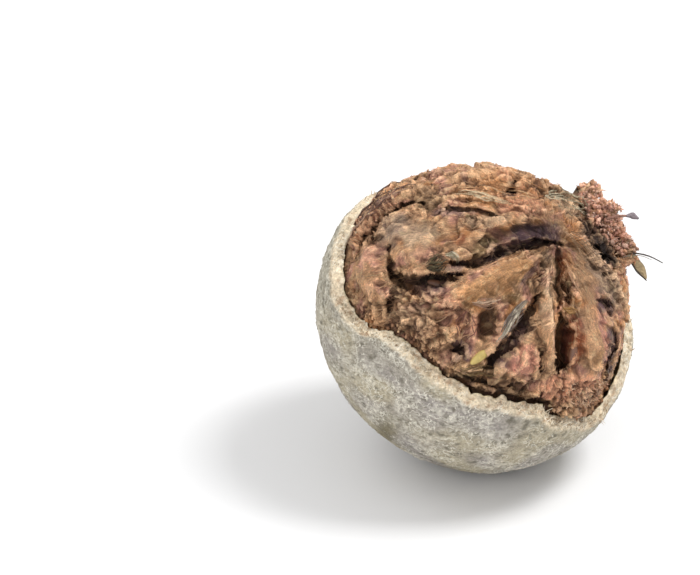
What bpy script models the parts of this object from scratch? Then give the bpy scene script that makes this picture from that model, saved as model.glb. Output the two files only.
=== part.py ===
"""A wood apple cracked open: one half of its woody shell, with the whole ball of pulp still sitting in it.

Units are metres. +X is to the right, -Y is towards the open side, +Z is up, and the origin is the middle
of the flat spot that the shell rests on.

The torn side is described on the face, which is the fruit as it looks from the front and FACE_TILT above
the horizon. A face point is (u, v): u to the right and v up, from the fruit's middle, and w is the height
towards the viewer. The fruit's own axis runs from the stem scar, underneath, to the hub, where the lobes
of pulp meet. Angles from that axis are polar, and angles round it start at the face's right hand side.
"""

import itertools
import math

import bmesh
import bpy
import numpy as np
from mathutils import Matrix

MM = 0.001

# Driving dimensions
FACE_TILT = math.radians(28)
LONG_HALF = 41.7 * MM
SHORT_HALF = 38.8 * MM
DEEP_HALF = 40.0 * MM
LONG_LEAN = math.radians(140)
DENT_HEIGHT = 0.35 * MM
HUB = (20.0, 18.0)
WALL = 2.6 * MM
RIM_WALL_SHARE = 0.75
RIM_CHAMFER = 0.9 * MM
PULP_GAP = 0.5 * MM
SCAR_HOLLOW = 1.7 * MM
SCAR_HOLLOW_HALF = 7.5 * MM
REST_SPOT_DEPTH = 0.9 * MM

# The broken rim: (angle round the axis, polar angle), in degrees, and the size of its small jags
RIM = (
    (-170, 92), (-160, 89), (-152, 84), (-146, 76), (-134, 72), (-122, 71), (-111, 68), (-103, 69),
    (-94, 65), (-76, 64), (-68, 69), (-57, 71), (-46, 77), (-34, 80), (-25, 76), (-13, 68),
    (-5, 65), (6, 66), (20, 71), (35, 76), (60, 84), (85, 92), (104, 95), (120, 99), (138, 95), (165, 92),
)
RIM_JAG = math.radians(1.4)

# How far the bare pulp lies under the fruit's full outline, in the middle and towards each side
SINK = 2.3 * MM
SINK_SLOPE = (-1.9 * MM, -0.4 * MM)

# Clefts and ridges on the face: name, depth or height, half width, share of it that is flat, path, all in mm.
# Where there are two half widths they are for the left and the right of the path.
CLEFTS = (
    ("main cleft, hub to left", 7.5, (1.3, 6.2), 0.1,
     ((21, 18.2), (16, 17.3), (11, 16.6), (6, 14.9), (2.3, 12.8), (-1.5, 12.2), (-6, 13.2))),
    ("left cleft", 8.0, (1.5, 4.8), 0.2,
     ((-23.4, 11.5), (-18.3, 9.3), (-14.5, 9.4), (-11, 9.9), (-7.8, 10.5), (-3.8, 10.8))),
    ("upright crack on the left", 3.5, 1.4, 0.1, ((-23.6, 19), (-23.6, 14), (-23, 9.5))),
    ("slanting cleft", 6.0, (5.0, 1.4), 0.15,
     ((16, 5), (13, 1.2), (9.8, -3.3), (6.8, -7.5), (4, -11.5), (2, -15))),
    ("crack down from the hub", 4.0, (3.4, 1.0), 0.1, ((20.0, 18.2), (20.0, 13), (20.2, 8.5), (20.2, 2))),
    ("seed cavity", 7.5, (6.4, 1.2), 0.25, ((20.9, 0.2), (20.4, -6), (20.8, -14.8))),
    ("groove inside the right hand skin", 2.6, 1.6, 0.1,
     ((31, 4), (34, 0), (35.2, -5), (34.6, -11), (33, -18))),
    ("gap behind the torn lining", 5.0, 1.7, 0.2,
     ((-34, 14), (-31, 20), (-26.3, 24.8), (-21, 29), (-14, 29.8))),
    ("shadow line under the pale fibre", 2.4, (0.8, 2.8), 0.1,
     ((-12, 26.8), (-7.8, 27.9), (-2.8, 28), (1, 27.2), (6, 25.6))),
    ("crack in the top layer", 2.0, 0.8, 0.2, ((15.6, 29.4), (19.4, 31))),
    ("crack beside the lower ridge", 2.0, 0.8, 0.2, ((16.8, -8), (16.3, -15))),
)
RIDGES = (
    ("torn lining left on the shell", 1.8, 2.2, 0.5,
     ((-34.5, 17), (-31, 22.5), (-26, 27.6), (-20, 31.6), (-12, 33.4))),
    ("broad lobe below the main cleft", 2.8, 3.8, 0.0,
     ((17.0, 14.2), (11, 12.2), (6, 10.2), (1, 8.0), (-4, 5.2), (-10, 2.4))),
    ("ridge down from the hub", 2.4, 2.0, 0.1,
     ((17.6, 13.6), (17.3, 6.3), (17.8, -1.3), (18.8, -7.5), (18.6, -13.5))),
    ("thin edge right of the hub", 1.0, 0.8, 0.2, ((21.5, 14), (24, 8), (26, 4.5))),
    ("pale membrane", 2.4, 0.9, 0.3, ((13.5, 4.2), (10.5, 1.6), (8.6, -1.8), (7, -4.8), (3.6, -6.8))),
    ("skin rope on the right", 1.8, 1.8, 0.2,
     ((21, 21), (26, 18.3), (30.3, 13.8), (33.8, 9.3), (36.8, 4.5), (38.6, -1))),
    ("pale fibre over the top", 1.1, 1.0, 0.2,
     ((-18, 27), (-11.5, 29.5), (-4, 30.5), (3.5, 28.9), (11, 27.3), (18.5, 25.8))),
    ("top layer", 2.2, 6.0, 0.0, ((-5.5, 35.5), (4, 36.3), (14, 34), (23, 30))),
    ("shaggy crest on the right", 4.8, 4.6, 0.15,
     ((24.4, 30.2), (27.4, 27.4), (31.9, 22.4), (35.2, 17.4), (36.8, 13.6))),
    ("lump at the end of the crest", 6.4, 4.2, 0.2, ((25.2, 29.6), (28.4, 26.4), (31.2, 23.2))),
)

# Hollows and swellings: name, depth or height, middle on the face, half length, half width, lean in
# degrees, share that is flat
HOLLOWS = (
    ("dark slope above the main cleft", 4.0, (9, 20.0), 14.5, 4.6, 12, 0.3),
    ("recess above the seed cavity", 2.6, (23, 6.2), 4.8, 2.0, 100, 0.3),
    ("hole beside the skin rope", 5.0, (31.0, 16.0), 5.0, 2.8, -42, 0.4),
    ("hollow above that hole", 4.4, (28.2, 23.2), 5.4, 2.8, -52, 0.3),
    ("pit beside the skin rope", 3.6, (33, 3), 3.0, 1.8, -30, 0.2),
    ("round hole in the top layer", 4.2, (8.5, 32), 2.1, 1.6, 60, 0.3),
    ("round pit near the front", 3.2, (-4.5, -8.8), 2.6, 2.2, 0, 0.3),
    ("recess under the broad lobe", 4.4, (3, -2), 6.0, 3.8, 80, 0.4),
    ("hollow at the left", 3.4, (-28, 19.6), 3.6, 2.4, 20, 0.2),
    ("dip below the left lobe", 3.4, (-22.6, 3.6), 4.0, 2.6, 60, 0.2),
    ("hollow over the front rim", 3.6, (6, -17.5), 12.0, 3.4, -6, 0.3),
)
SWELLINGS = (
    ("left lobe", 2.2, (-28.4, 10), 8.0, 4.2, 90, 0.4),
    ("upper left lobe", 2.2, (-15.5, 17), 8.5, 5.0, 10, 0.2),
    ("right lobe", 2.2, (29.6, -7), 12.0, 4.0, 95, 0.3),
    ("lower left lobe", 1.6, (-11.5, -5), 9.0, 7.0, -40, 0.2),
    ("small lump at the left", 1.3, (-19.2, -2.6), 2.8, 2.4, 0, 0.2),
    ("lump low on the right", 1.4, (28, -20.5), 4.0, 3.2, 30, 0.2),
    ("lump left of the seed cavity", 1.3, (12, -12.5), 5.0, 3.5, -60, 0.2),
)

# The gap that shows between the pulp and the broken rim: angle round the axis, and depth
RIM_GAP = (
    (-180, 0.5), (-150, 0.5), (-128, 0.8), (-108, 2.6), (-70, 3.0), (-45, 1.4), (-25, 0.6), (0, 0.6),
    (22, 0.0), (140, 0.0), (165, 0.4),
)

# The pulp stands away from the shell at the right: angle round the axis, depth at the rim, and its reach
STAND_AWAY = ((-62, 0.0), (-42, 2.6), (-30, 5.2), (-8, 5.2), (0, 3.2), (9, 1.0), (18, 0.0))
STAND_AWAY_REACH = 24 * MM

# Grooves between the lobes on the far side: angle round the axis in degrees, and depth
FAR_GROOVES = ((24, 2.6), (52, 3.6), (80, 2.8), (108, 3.6), (134, 2.4))
FAR_GROOVE_HALF = 2.4 * MM

# Seeds: middle on the face, lean in degrees, sizes, and how much of the thickness stays sunk in the pulp
SEED_SIZE = (5.6 * MM, 2.9 * MM, 2.0 * MM)
SEEDS = (((1.0, -10.4), 40), ((24.0, -9.5), 80), ((-9.5, 7.2), -20))
SEED_SUNK = 0.35

# Strings of fibre that lie over the pulp, and those that stand out on the right
STRING_COUNT = 20
STRING_RADIUS = 0.5 * MM
TUFT_COUNT = 14
TUFT_LENGTH = 4.2 * MM
TUFT_RADIUS = 0.5 * MM
RANDOM_SEED = 12
LARGEST_POCKET = 3.0 * MM

# Mesh fineness, before and after the flatter faces are merged
SHELL_SEGMENTS, SHELL_RINGS, SHELL_KEPT = 144, 56, 0.27
PULP_SEGMENTS, PULP_RINGS, PULP_KEPT = 176, 92, 0.215


def unit(vector):
    vector = np.asarray(vector, float)
    return vector / np.linalg.norm(vector)


def smooth_step(low, high, x):
    """0 below low, 1 above high, and an S curve between them."""
    t = np.clip((x - low) / (high - low), 0.0, 1.0)
    return t * t * (3 - 2 * t)


def noise_tables(seed):
    random = np.random.default_rng(seed)
    slopes = random.normal(size=(256, 3))
    return random.permutation(256), slopes / np.linalg.norm(slopes, axis=1, keepdims=True)


SHUFFLE, SLOPES = noise_tables(5)


def slope_noise(points):
    """Gradient noise, about -1 to 1: a random slope at each corner of the unit grid, blended smoothly."""
    cell = np.floor(points).astype(int)
    inside = points - cell
    blend = inside**3 * (inside * (inside * 6 - 15) + 10)
    total = np.zeros(len(points))
    for corner in itertools.product((0, 1), repeat=3):
        x, y, z = (cell + corner).T & 255
        slope = SLOPES[SHUFFLE[(SHUFFLE[(SHUFFLE[x] + y) & 255] + z) & 255]]
        share = np.prod(np.where(corner, blend, 1 - blend), axis=1)
        total += share * np.einsum("ij,ij->i", slope, inside - corner)
    return 1.6 * total


# The face's axes in the world, one per column: u, v and w
FACE_TO_WORLD = np.array(
    [[1, 0, 0], [0, math.sin(FACE_TILT), -math.cos(FACE_TILT)], [0, math.cos(FACE_TILT), math.sin(FACE_TILT)]]
)
# The outline's long, short and deep axes, in face coordinates, one per row
OUTLINE_AXES = np.array(
    [[math.cos(LONG_LEAN), math.sin(LONG_LEAN), 0], [-math.sin(LONG_LEAN), math.cos(LONG_LEAN), 0], [0, 0, 1]]
)
OUTLINE_HALVES = np.array([LONG_HALF, SHORT_HALF, DEEP_HALF])


def on_fruit(face_points):
    """Face points, in mm, lifted onto the front of the fruit's outline, as (u, v, w) in metres."""
    flat = np.column_stack([np.atleast_2d(face_points) * MM, np.zeros(len(np.atleast_2d(face_points)))])
    left_over = 1 - ((flat @ OUTLINE_AXES.T / OUTLINE_HALVES) ** 2).sum(axis=1)
    flat[:, 2] = DEEP_HALF * np.sqrt(np.clip(left_over, 0, None))
    return flat


AXIS = unit(on_fruit([HUB])[0])
AXIS_RIGHT = unit(np.array([1.0, 0, 0]) - AXIS[0] * AXIS)
# The fruit's own axes in face coordinates, one per column: right, up and along its axis
FRUIT_TO_FACE = np.column_stack([AXIS_RIGHT, np.cross(AXIS, AXIS_RIGHT), AXIS])


def directions(polar, around):
    """Unit vectors on the face for angles about the fruit's axis."""
    local = np.column_stack([np.sin(polar) * np.cos(around), np.sin(polar) * np.sin(around), np.cos(polar)])
    return local @ FRUIT_TO_FACE.T


def fruit_radius(towards):
    """Distance from the fruit's middle to its outside: an ellipsoid with shallow dents."""
    across = towards @ OUTLINE_AXES.T / OUTLINE_HALVES
    return 1 / np.linalg.norm(across, axis=1) + DENT_HEIGHT * slope_noise(towards * 2.6 + 9.0)


def scar_relief(polar, around):
    """The stem scar at the far pole: a shallow dish with a raised ring, a pit and a few radial wrinkles."""
    away = (math.pi - polar) * DEEP_HALF / MM
    dish = -0.9 * np.exp(-((away / 6.5) ** 2))
    ring = 0.9 * np.exp(-(((away - 2.8) / 0.9) ** 2))
    pit = -0.7 * np.exp(-((away / 1.3) ** 2))
    wrinkles = 0.16 * np.cos(9 * around) * np.exp(-(((away - 6.5) / 2.2) ** 2))
    return (dish + ring + pit + wrinkles) * MM


def rim_polar(around):
    """The polar angle where the shell is broken off: straight breaks between the RIM points, and jags."""
    degrees = np.degrees(around)
    corners = np.array(RIM, float)
    main = np.interp(degrees, corners[:, 0], corners[:, 1], period=360)
    ring = np.column_stack([np.cos(around), np.sin(around), np.zeros_like(around)])
    jags = 0.6 * slope_noise(ring * 9.0 + 3.0) + 0.4 * slope_noise(ring * 21.0 + 7.0)
    return np.radians(main) + RIM_JAG * jags


def along_path(points, path):
    """Each point's distance to a path of straight runs, where along it that is, and if it lies left of it."""
    best, share, left = np.full(len(points), np.inf), np.zeros(len(points)), np.zeros(len(points), bool)
    runs = np.diff(path, axis=0)
    lengths = np.linalg.norm(runs, axis=1)
    starts = np.concatenate([[0.0], np.cumsum(lengths)[:-1]])
    for corner, run, length, start in zip(path[:-1], runs, lengths, starts):
        t = np.clip((points - corner) @ run / length**2, 0, 1)
        distance = np.linalg.norm(points - corner - t[:, None] * run, axis=1)
        nearer = distance < best
        share = np.where(nearer, (start + t * length) / lengths.sum(), share)
        aside = run[0] * (points[:, 1] - corner[1]) - run[1] * (points[:, 0] - corner[0])
        left = np.where(nearer, aside > 0, left)
        best = np.minimum(distance, best)
    return best, share, left


def path_height(points, features):
    """The highest of several features that follow a path and taper to a point at both of its ends."""
    height = np.zeros(len(points))
    for _, rise, half_width, flat, path in features:
        distance, share, left = along_path(points, on_fruit(path))
        half = np.where(left, *np.broadcast_to(half_width, 2)) * MM
        half = half * np.sqrt(np.sin(np.pi * np.clip(share, 0.02, 0.98)))
        height = np.maximum(height, rise * MM * (1 - smooth_step(flat, 1.0, distance / half)))
    return height


def spot_height(points, features):
    """The highest of several oval features, each flat in the middle and falling to nothing at its edge."""
    height = np.zeros(len(points))
    for _, rise, middle, half_length, half_width, lean, flat in features:
        lean = math.radians(lean)
        u, v = (points[:, :2] / MM - middle).T
        along = (u * math.cos(lean) + v * math.sin(lean)) / half_length
        across = (v * math.cos(lean) - u * math.sin(lean)) / half_width
        height = np.maximum(height, rise * MM * (1 - smooth_step(flat, 1.0, np.hypot(along, across))))
    return np.where(points[:, 2] > 0, height, 0)


def pulp_relief(towards, polar, around):
    """The torn pulp's height over its smooth form, and how deep its clefts are cut in from the face."""
    points = towards * fruit_radius(towards)[:, None]
    shift = [slope_noise(points / (3.2 * MM) + offset) for offset in (0.0, 40.0, 80.0)]
    warped = points + 0.75 * MM * np.column_stack(shift)
    raised = path_height(warped, RIDGES) + spot_height(warped, SWELLINGS)
    cut = np.maximum(path_height(warped, CLEFTS), spot_height(warped, HOLLOWS))
    cut *= smooth_step(6 * MM, 18 * MM, points[:, 2])
    sunk = np.zeros(len(points))
    for angle, depth in FAR_GROOVES:
        wobble = around + 0.16 * slope_noise(points / (7.0 * MM) + angle)
        away = np.abs(np.angle(np.exp(1j * (wobble - math.radians(angle))))) * np.sin(polar) * DEEP_HALF
        groove = 1 - smooth_step(0.1, 1.0, away / FAR_GROOVE_HALF)
        far_side = smooth_step(0.35, 0.7, polar) * (points[:, 2] < 15 * MM)
        sunk = np.maximum(sunk, depth * MM * groove * far_side)
    lumps = 0.95 * slope_noise(points / (4.6 * MM)) + 0.5 * slope_noise(points / (2.1 * MM) + 20)
    fan = np.column_stack([np.cos(around) * 7, np.sin(around) * 7, polar * 1.6])
    strings = 0.5 * (0.5 - np.abs(slope_noise(fan))) * smooth_step(0.1, 0.4, polar)
    return raised - sunk + (lumps + strings) * MM, cut


def pulp_places(polar, around):
    """The pulp's surface, from the fruit's middle: close under the shell, and torn where it is bare."""
    towards = directions(polar, around)
    outline = fruit_radius(towards)
    over_scar = np.exp(-(((math.pi - polar) * DEEP_HALF / SCAR_HOLLOW_HALF) ** 2))
    seated = outline - WALL - PULP_GAP - SCAR_HOLLOW * over_scar
    sink = SINK + towards[:, 0] * SINK_SLOPE[0] + towards[:, 1] * SINK_SLOPE[1]
    past_rim = (rim_polar(around) - polar) * DEEP_HALF
    open_share = smooth_step(0.3 * MM, 3.4 * MM, past_rim)
    height, cut = pulp_relief(towards, polar, around)
    torn = outline - sink + height
    gap_depth = np.interp(np.degrees(around), *np.array(RIM_GAP, float).T, period=360) * MM
    inner_side = 1 - smooth_step(1.2 * MM, 3.6 * MM + 1.1 * gap_depth, past_rim)
    gap = gap_depth * smooth_step(-5 * MM, -1 * MM, past_rim) * inner_side
    away = np.interp(np.degrees(around), *np.array(STAND_AWAY).T) * MM
    torn = torn - away * (1 - smooth_step(0, STAND_AWAY_REACH, past_rim))
    radius = seated + open_share * (torn - seated) - gap
    return towards * radius[:, None] - np.outer(open_share * cut, (0, 0, 1))


def lowest_point():
    """The lowest point of the fruit's outline, from its middle, in the world."""
    down = FACE_TO_WORLD.T @ np.array([0, 0, -1.0])
    stretched = OUTLINE_AXES @ down * OUTLINE_HALVES
    return FACE_TO_WORLD @ (OUTLINE_AXES.T @ (stretched * OUTLINE_HALVES) / np.linalg.norm(stretched))


FRUIT_MIDDLE = -lowest_point() - np.array([0, 0, REST_SPOT_DEPTH])


def face_to_world(points):
    return points @ FACE_TO_WORLD.T + FRUIT_MIDDLE


def clear_scene():
    for obj in list(bpy.data.objects):
        bpy.data.objects.remove(obj, do_unlink=True)


def new_collection(name):
    collection = bpy.data.collections.new(name)
    bpy.context.scene.collection.children.link(collection)
    return collection


def new_material(name, colour, roughness):
    material = bpy.data.materials.new(name)
    material.use_nodes = True
    shader = material.node_tree.nodes["Principled BSDF"]
    shader.inputs["Base Color"].default_value = (*colour, 1.0)
    shader.inputs["Roughness"].default_value = roughness
    shader.inputs["Metallic"].default_value = 0.0
    return material


def new_object(name, bm, collection, material=None):
    mesh = bpy.data.meshes.new(name)
    bm.to_mesh(mesh)
    bm.free()
    obj = bpy.data.objects.new(name, mesh)
    collection.objects.link(obj)
    if material:
        mesh.materials.append(material)
    return obj


def polar_angles(bm):
    """(vertices, polar angle, angle round the axis) of a unit sphere whose poles are on Z."""
    vertices = list(bm.verts)
    places = np.array([vertex.co for vertex in vertices])
    return vertices, np.arccos(np.clip(places[:, 2], -1, 1)), np.arctan2(places[:, 1], places[:, 0])


def put(vertices, places):
    for vertex, place in zip(vertices, places):
        vertex.co = place


def add_decimate(obj, kept):
    modifier = obj.modifiers.new("merge flatter faces", "DECIMATE")
    modifier.ratio = kept


def add_boolean(obj, operation, other=None, collection=None):
    modifier = obj.modifiers.new(operation.lower(), "BOOLEAN")
    modifier.operation = operation
    if collection:
        modifier.operand_type = "COLLECTION"
        modifier.collection = collection
    else:
        modifier.object = other


def apply_modifiers(obj):
    graph = bpy.context.evaluated_depsgraph_get()
    mesh = bpy.data.meshes.new_from_object(obj.evaluated_get(graph))
    obj.modifiers.clear()
    obj.data = mesh


def fill_pockets(obj, across):
    """Removes the walls of pockets smaller than that, which were shut in where a string lies over a cleft."""
    bm = bmesh.new()
    bm.from_mesh(obj.data)
    left = set(bm.verts)
    while left:
        body = [left.pop()]
        for vertex in body:
            near = {edge.other_vert(vertex) for edge in vertex.link_edges} & left
            left -= near
            body.extend(near)
        places = np.array([vertex.co for vertex in body])
        if np.ptp(places, axis=0).max() < across:
            bmesh.ops.delete(bm, geom=body, context="VERTS")
    bm.to_mesh(obj.data)
    bm.free()


def shade(obj):
    obj.data.shade_smooth()
    obj.data.set_sharp_from_angle(angle=math.radians(50))


def make_shell(collection, cutters):
    """The open half of a sphere, drawn up to the broken rim, shaped, and given its wall by Solidify."""
    bm = bmesh.new()
    bmesh.ops.create_uvsphere(bm, u_segments=SHELL_SEGMENTS, v_segments=SHELL_RINGS, radius=1.0)
    above = [vertex for vertex in bm.verts if vertex.co.z > 1e-4]
    bmesh.ops.delete(bm, geom=above, context="VERTS")
    vertices, polar, around = polar_angles(bm)
    share = (math.pi - polar) / (math.pi / 2)
    spread = share - 0.6 * np.sin(2 * np.pi * share) / (2 * np.pi)
    polar = math.pi - spread * (math.pi - rim_polar(around))
    towards = directions(polar, around)
    chamfer = RIM_CHAMFER * smooth_step(1 - 1.5 / (SHELL_RINGS / 2), 1.0, share)
    radius = fruit_radius(towards) + scar_relief(polar, around) - chamfer
    put(vertices, face_to_world(towards * radius[:, None]))
    bmesh.ops.recalc_face_normals(bm, faces=bm.faces)
    shell = new_object("shell", bm, collection, new_material("shell bark", (0.47, 0.44, 0.36), 0.85))
    at_rim = shell.vertex_groups.new(name="away from the rim")
    for vertex, along in zip(shell.data.vertices, share):
        at_rim.add([vertex.index], 1 - smooth_step(0.93, 1.0, along), "REPLACE")
    wall = shell.modifiers.new("wall", "SOLIDIFY")
    wall.thickness = WALL
    wall.offset = -1
    wall.use_even_offset = True
    wall.vertex_group = at_rim.name
    wall.thickness_vertex_group = RIM_WALL_SHARE
    add_decimate(shell, SHELL_KEPT)
    bm = bmesh.new()
    bmesh.ops.create_cube(bm, size=4 * LONG_HALF)
    bmesh.ops.translate(bm, verts=bm.verts, vec=(0, 0, -2 * LONG_HALF))
    floor_cutter = new_object("floor cutter", bm, cutters)
    floor_cutter.display_type = "WIRE"
    floor_cutter.hide_render = True
    add_boolean(shell, "DIFFERENCE", other=floor_cutter)
    apply_modifiers(shell)
    shade(shell)
    return shell


def make_pulp(collection):
    """A sphere with its rings crowded towards the hub, set out by the torn pulp's formula."""
    bm = bmesh.new()
    bmesh.ops.create_uvsphere(bm, u_segments=PULP_SEGMENTS, v_segments=PULP_RINGS, radius=1.0)
    vertices, polar, around = polar_angles(bm)
    share = polar / math.pi
    polar = math.pi * (0.62 * share + 0.38 * share**4)
    put(vertices, face_to_world(pulp_places(polar, around)))
    bmesh.ops.recalc_face_normals(bm, faces=bm.faces)
    pulp = new_object("pulp", bm, collection, new_material("pulp flesh", (0.30, 0.155, 0.085), 0.55))
    soften = pulp.modifiers.new("soften the tears", "SMOOTH")
    soften.factor = 0.5
    soften.iterations = 2
    add_decimate(pulp, PULP_KEPT)
    return pulp


def tube(name, points, radius, collection, sides=0):
    """A string of fibre through world points, as a closed mesh. It thins to its far end."""
    curve = bpy.data.curves.new(name, "CURVE")
    curve.dimensions = "3D"
    curve.bevel_depth = radius
    curve.bevel_resolution = sides
    curve.use_fill_caps = True
    spline = curve.splines.new("POLY")
    spline.points.add(len(points) - 1)
    for point, place, along in zip(spline.points, points, np.linspace(0, 1, len(points))):
        point.co = (*place, 1.0)
        point.radius = 1.0 - 0.35 * along
    guide = bpy.data.objects.new(name + " guide", curve)
    collection.objects.link(guide)
    mesh = bpy.data.meshes.new_from_object(guide.evaluated_get(bpy.context.evaluated_depsgraph_get()))
    bpy.data.objects.remove(guide)
    bm = bmesh.new()
    bm.from_mesh(mesh)
    bmesh.ops.remove_doubles(bm, verts=bm.verts, dist=0.00001)
    bmesh.ops.recalc_face_normals(bm, faces=bm.faces)
    return new_object(name, bm, collection)


def surface_point(face_direction):
    """The pulp's surface along one direction, in face coordinates."""
    local = FRUIT_TO_FACE.T @ face_direction
    return pulp_places(np.array([math.acos(local[2])]), np.array([math.atan2(local[1], local[0])]))[0]


def add_strings(collection, random):
    """Strings of fibre that run out from the hub over the bare pulp. Only their ends are sunk."""
    for number in range(STRING_COUNT):
        around = math.radians(-165 + 330 * (number + 0.5) / STRING_COUNT + random.uniform(-5, 5))
        rim = float(rim_polar(np.array([around]))[0])
        start = random.uniform(0.2, 0.55) * rim
        end = min(start + math.radians(random.uniform(9, 15)), rim - math.radians(14))
        turn = math.radians(random.uniform(-7, 7))
        points = []
        for along in np.linspace(0, 1, 6):
            polar, turned = np.array([start + along * (end - start)]), np.array([around + along * turn])
            towards = directions(polar, turned)[0]
            lift = (0.5 * math.sin(math.pi * along) - 0.35) * MM
            points.append(surface_point(towards) + lift * towards)
        tube(f"string {number}", face_to_world(np.array(points)), STRING_RADIUS, collection)


def add_tuft(collection, random):
    """Short strings that stand out of the shaggy crest on the right, and the three long wisps at its edge."""
    crest = on_fruit(RIDGES[-1][4])
    for number in range(TUFT_COUNT):
        place = (number + 0.5) / TUFT_COUNT * (len(crest) - 1)
        corner = int(place)
        root = crest[corner] + (place - corner) * (crest[corner + 1] - crest[corner])
        towards = unit(root + random.normal(scale=1.6 * MM, size=3))
        lean = unit(towards + random.normal(scale=0.45, size=3))
        start = surface_point(towards) - 1.3 * MM * towards
        length = TUFT_LENGTH * random.uniform(0.7, 1.15)
        sag = np.array([0, -1.0, 0]) * random.uniform(0, 1.4) * MM
        points = [start + along * length * lean + along**2 * sag for along in np.linspace(0, 1, 4)]
        tube(f"tuft {number}", face_to_world(np.array(points)), TUFT_RADIUS, collection)
    wisps = (
        ("thread", 0.4, ((30, 13.5, 3), (38.5, 16.3, 3), (42.5, 16, 3), (45.2, 14.9, 3), (47.5, 13.6, 3))),
        ("knotted fibre", 0.6, ((19, 17, 9), (29, 24.6, 11), (36.5, 25.4, 11), (39.5, 25.1, 11))),
    )
    for name, radius, route in wisps:
        tube(name, face_to_world(np.array(route) * MM), radius * MM, collection, sides=1)
    add_oval("knot", np.array([39.3, 25.1, 11]) * MM, (2.6 * MM, 2.0 * MM, 2.0 * MM), 20, collection)
    add_oval("loose scale", np.array([40.2, 13.2, 3]) * MM, (8.6 * MM, 2.5 * MM, 1.0 * MM), -57, collection)


def add_oval(name, middle, size, lean, collection):
    """A small flattened ball, its long side leaning on the face by that many degrees."""
    bm = bmesh.new()
    bmesh.ops.create_uvsphere(bm, u_segments=10, v_segments=6, radius=0.5)
    bmesh.ops.scale(bm, vec=size, verts=bm.verts)
    bmesh.ops.rotate(bm, matrix=Matrix.Rotation(math.radians(lean), 3, "Z"), verts=bm.verts)
    bmesh.ops.rotate(bm, matrix=Matrix(FACE_TO_WORLD.tolist()), verts=bm.verts)
    bmesh.ops.translate(bm, vec=face_to_world(middle), verts=bm.verts)
    return new_object(name, bm, collection)


def add_seeds(collection):
    for number, (place, lean) in enumerate(SEEDS):
        towards = unit(on_fruit([place])[0])
        middle = surface_point(towards) + (0.5 - SEED_SUNK) * SEED_SIZE[2] * towards
        add_oval(f"seed {number}", middle, SEED_SIZE, lean, collection)


def main():
    clear_scene()
    fruit = new_collection("wood apple")
    cutters = new_collection("cutters")
    make_shell(fruit, cutters)
    pulp = make_pulp(fruit)
    details = new_collection("pulp details")
    random = np.random.default_rng(RANDOM_SEED)
    add_strings(details, random)
    add_tuft(details, random)
    add_seeds(details)
    add_boolean(pulp, "UNION", collection=details)
    apply_modifiers(pulp)
    for obj in list(details.objects):
        bpy.data.objects.remove(obj, do_unlink=True)
    bpy.data.collections.remove(details)
    fill_pockets(pulp, LARGEST_POCKET)
    shade(pulp)


main()
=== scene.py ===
# %% [markdown]
# # A wood apple, cracked open
#
# A wood apple has a hard, pale grey rind and a soft brown pulp full of strings. This one has been cracked:
# the upper half of the rind is gone, and the whole ball of pulp still sits in the lower half.
#
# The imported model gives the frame. Its two nodes, the shell and the pulp, are plain closed solids, which is
# right for collision, so this lesson puts a finer skin over each of them and adds the small things that grow
# in the pulp: strings, shreds, membranes, seeds and crumbs.

import itertools
import math

import bpy
import numpy as np
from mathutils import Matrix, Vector


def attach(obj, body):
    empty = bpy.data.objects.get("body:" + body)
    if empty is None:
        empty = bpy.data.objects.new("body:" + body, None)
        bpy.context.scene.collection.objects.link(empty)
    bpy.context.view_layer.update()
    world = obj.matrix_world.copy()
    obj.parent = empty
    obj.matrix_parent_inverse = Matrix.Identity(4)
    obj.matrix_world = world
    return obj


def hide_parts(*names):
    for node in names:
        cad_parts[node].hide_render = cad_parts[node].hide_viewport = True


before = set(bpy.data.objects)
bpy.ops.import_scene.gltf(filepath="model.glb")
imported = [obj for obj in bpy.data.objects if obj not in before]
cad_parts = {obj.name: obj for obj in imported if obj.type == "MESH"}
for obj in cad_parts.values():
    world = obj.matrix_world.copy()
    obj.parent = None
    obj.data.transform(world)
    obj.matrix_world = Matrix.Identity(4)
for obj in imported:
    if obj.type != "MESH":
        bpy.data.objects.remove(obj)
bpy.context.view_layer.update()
scene = bpy.context.scene
MM = 0.001

# %% [markdown]
# ## Where things are on the fruit
#
# The torn side is easiest to describe as it looks from the front and 28 degrees above the horizon. On that
# *face*, u runs to the right, v runs up and w comes towards the viewer, all from the fruit's middle.
# The fruit's own axis runs from the stem scar underneath to the *hub*, where the lobes of pulp meet, and the
# meshes below are wound round that axis, because the strings of a wood apple fan out from it.

# %% The fruit's form
FACE_TILT = math.radians(28)
LONG_HALF, SHORT_HALF, DEEP_HALF = 41.7 * MM, 38.8 * MM, 40.0 * MM
LONG_LEAN = math.radians(140)
DENT_HEIGHT = 0.35 * MM
HUB = (20.0, 18.0)
WALL = 2.6 * MM
PULP_GAP = 0.5 * MM
REST_SPOT_DEPTH = 0.9 * MM

FACE_TO_WORLD = np.array(
    [[1, 0, 0], [0, math.sin(FACE_TILT), -math.cos(FACE_TILT)], [0, math.cos(FACE_TILT), math.sin(FACE_TILT)]]
)
OUTLINE_AXES = np.array(
    [[math.cos(LONG_LEAN), math.sin(LONG_LEAN), 0], [-math.sin(LONG_LEAN), math.cos(LONG_LEAN), 0], [0, 0, 1]]
)
OUTLINE_HALVES = np.array([LONG_HALF, SHORT_HALF, DEEP_HALF])


def unit(vectors):
    """Vectors divided by their own lengths."""
    vectors = np.asarray(vectors, float)
    return vectors / np.maximum(np.linalg.norm(vectors, axis=-1, keepdims=True), 1e-12)


def smooth_step(low, high, x):
    """0 below low, 1 above high, and the S curve 3t^2 - 2t^3 between them."""
    t = np.clip((x - low) / (high - low), 0.0, 1.0)
    return t * t * (3 - 2 * t)


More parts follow.
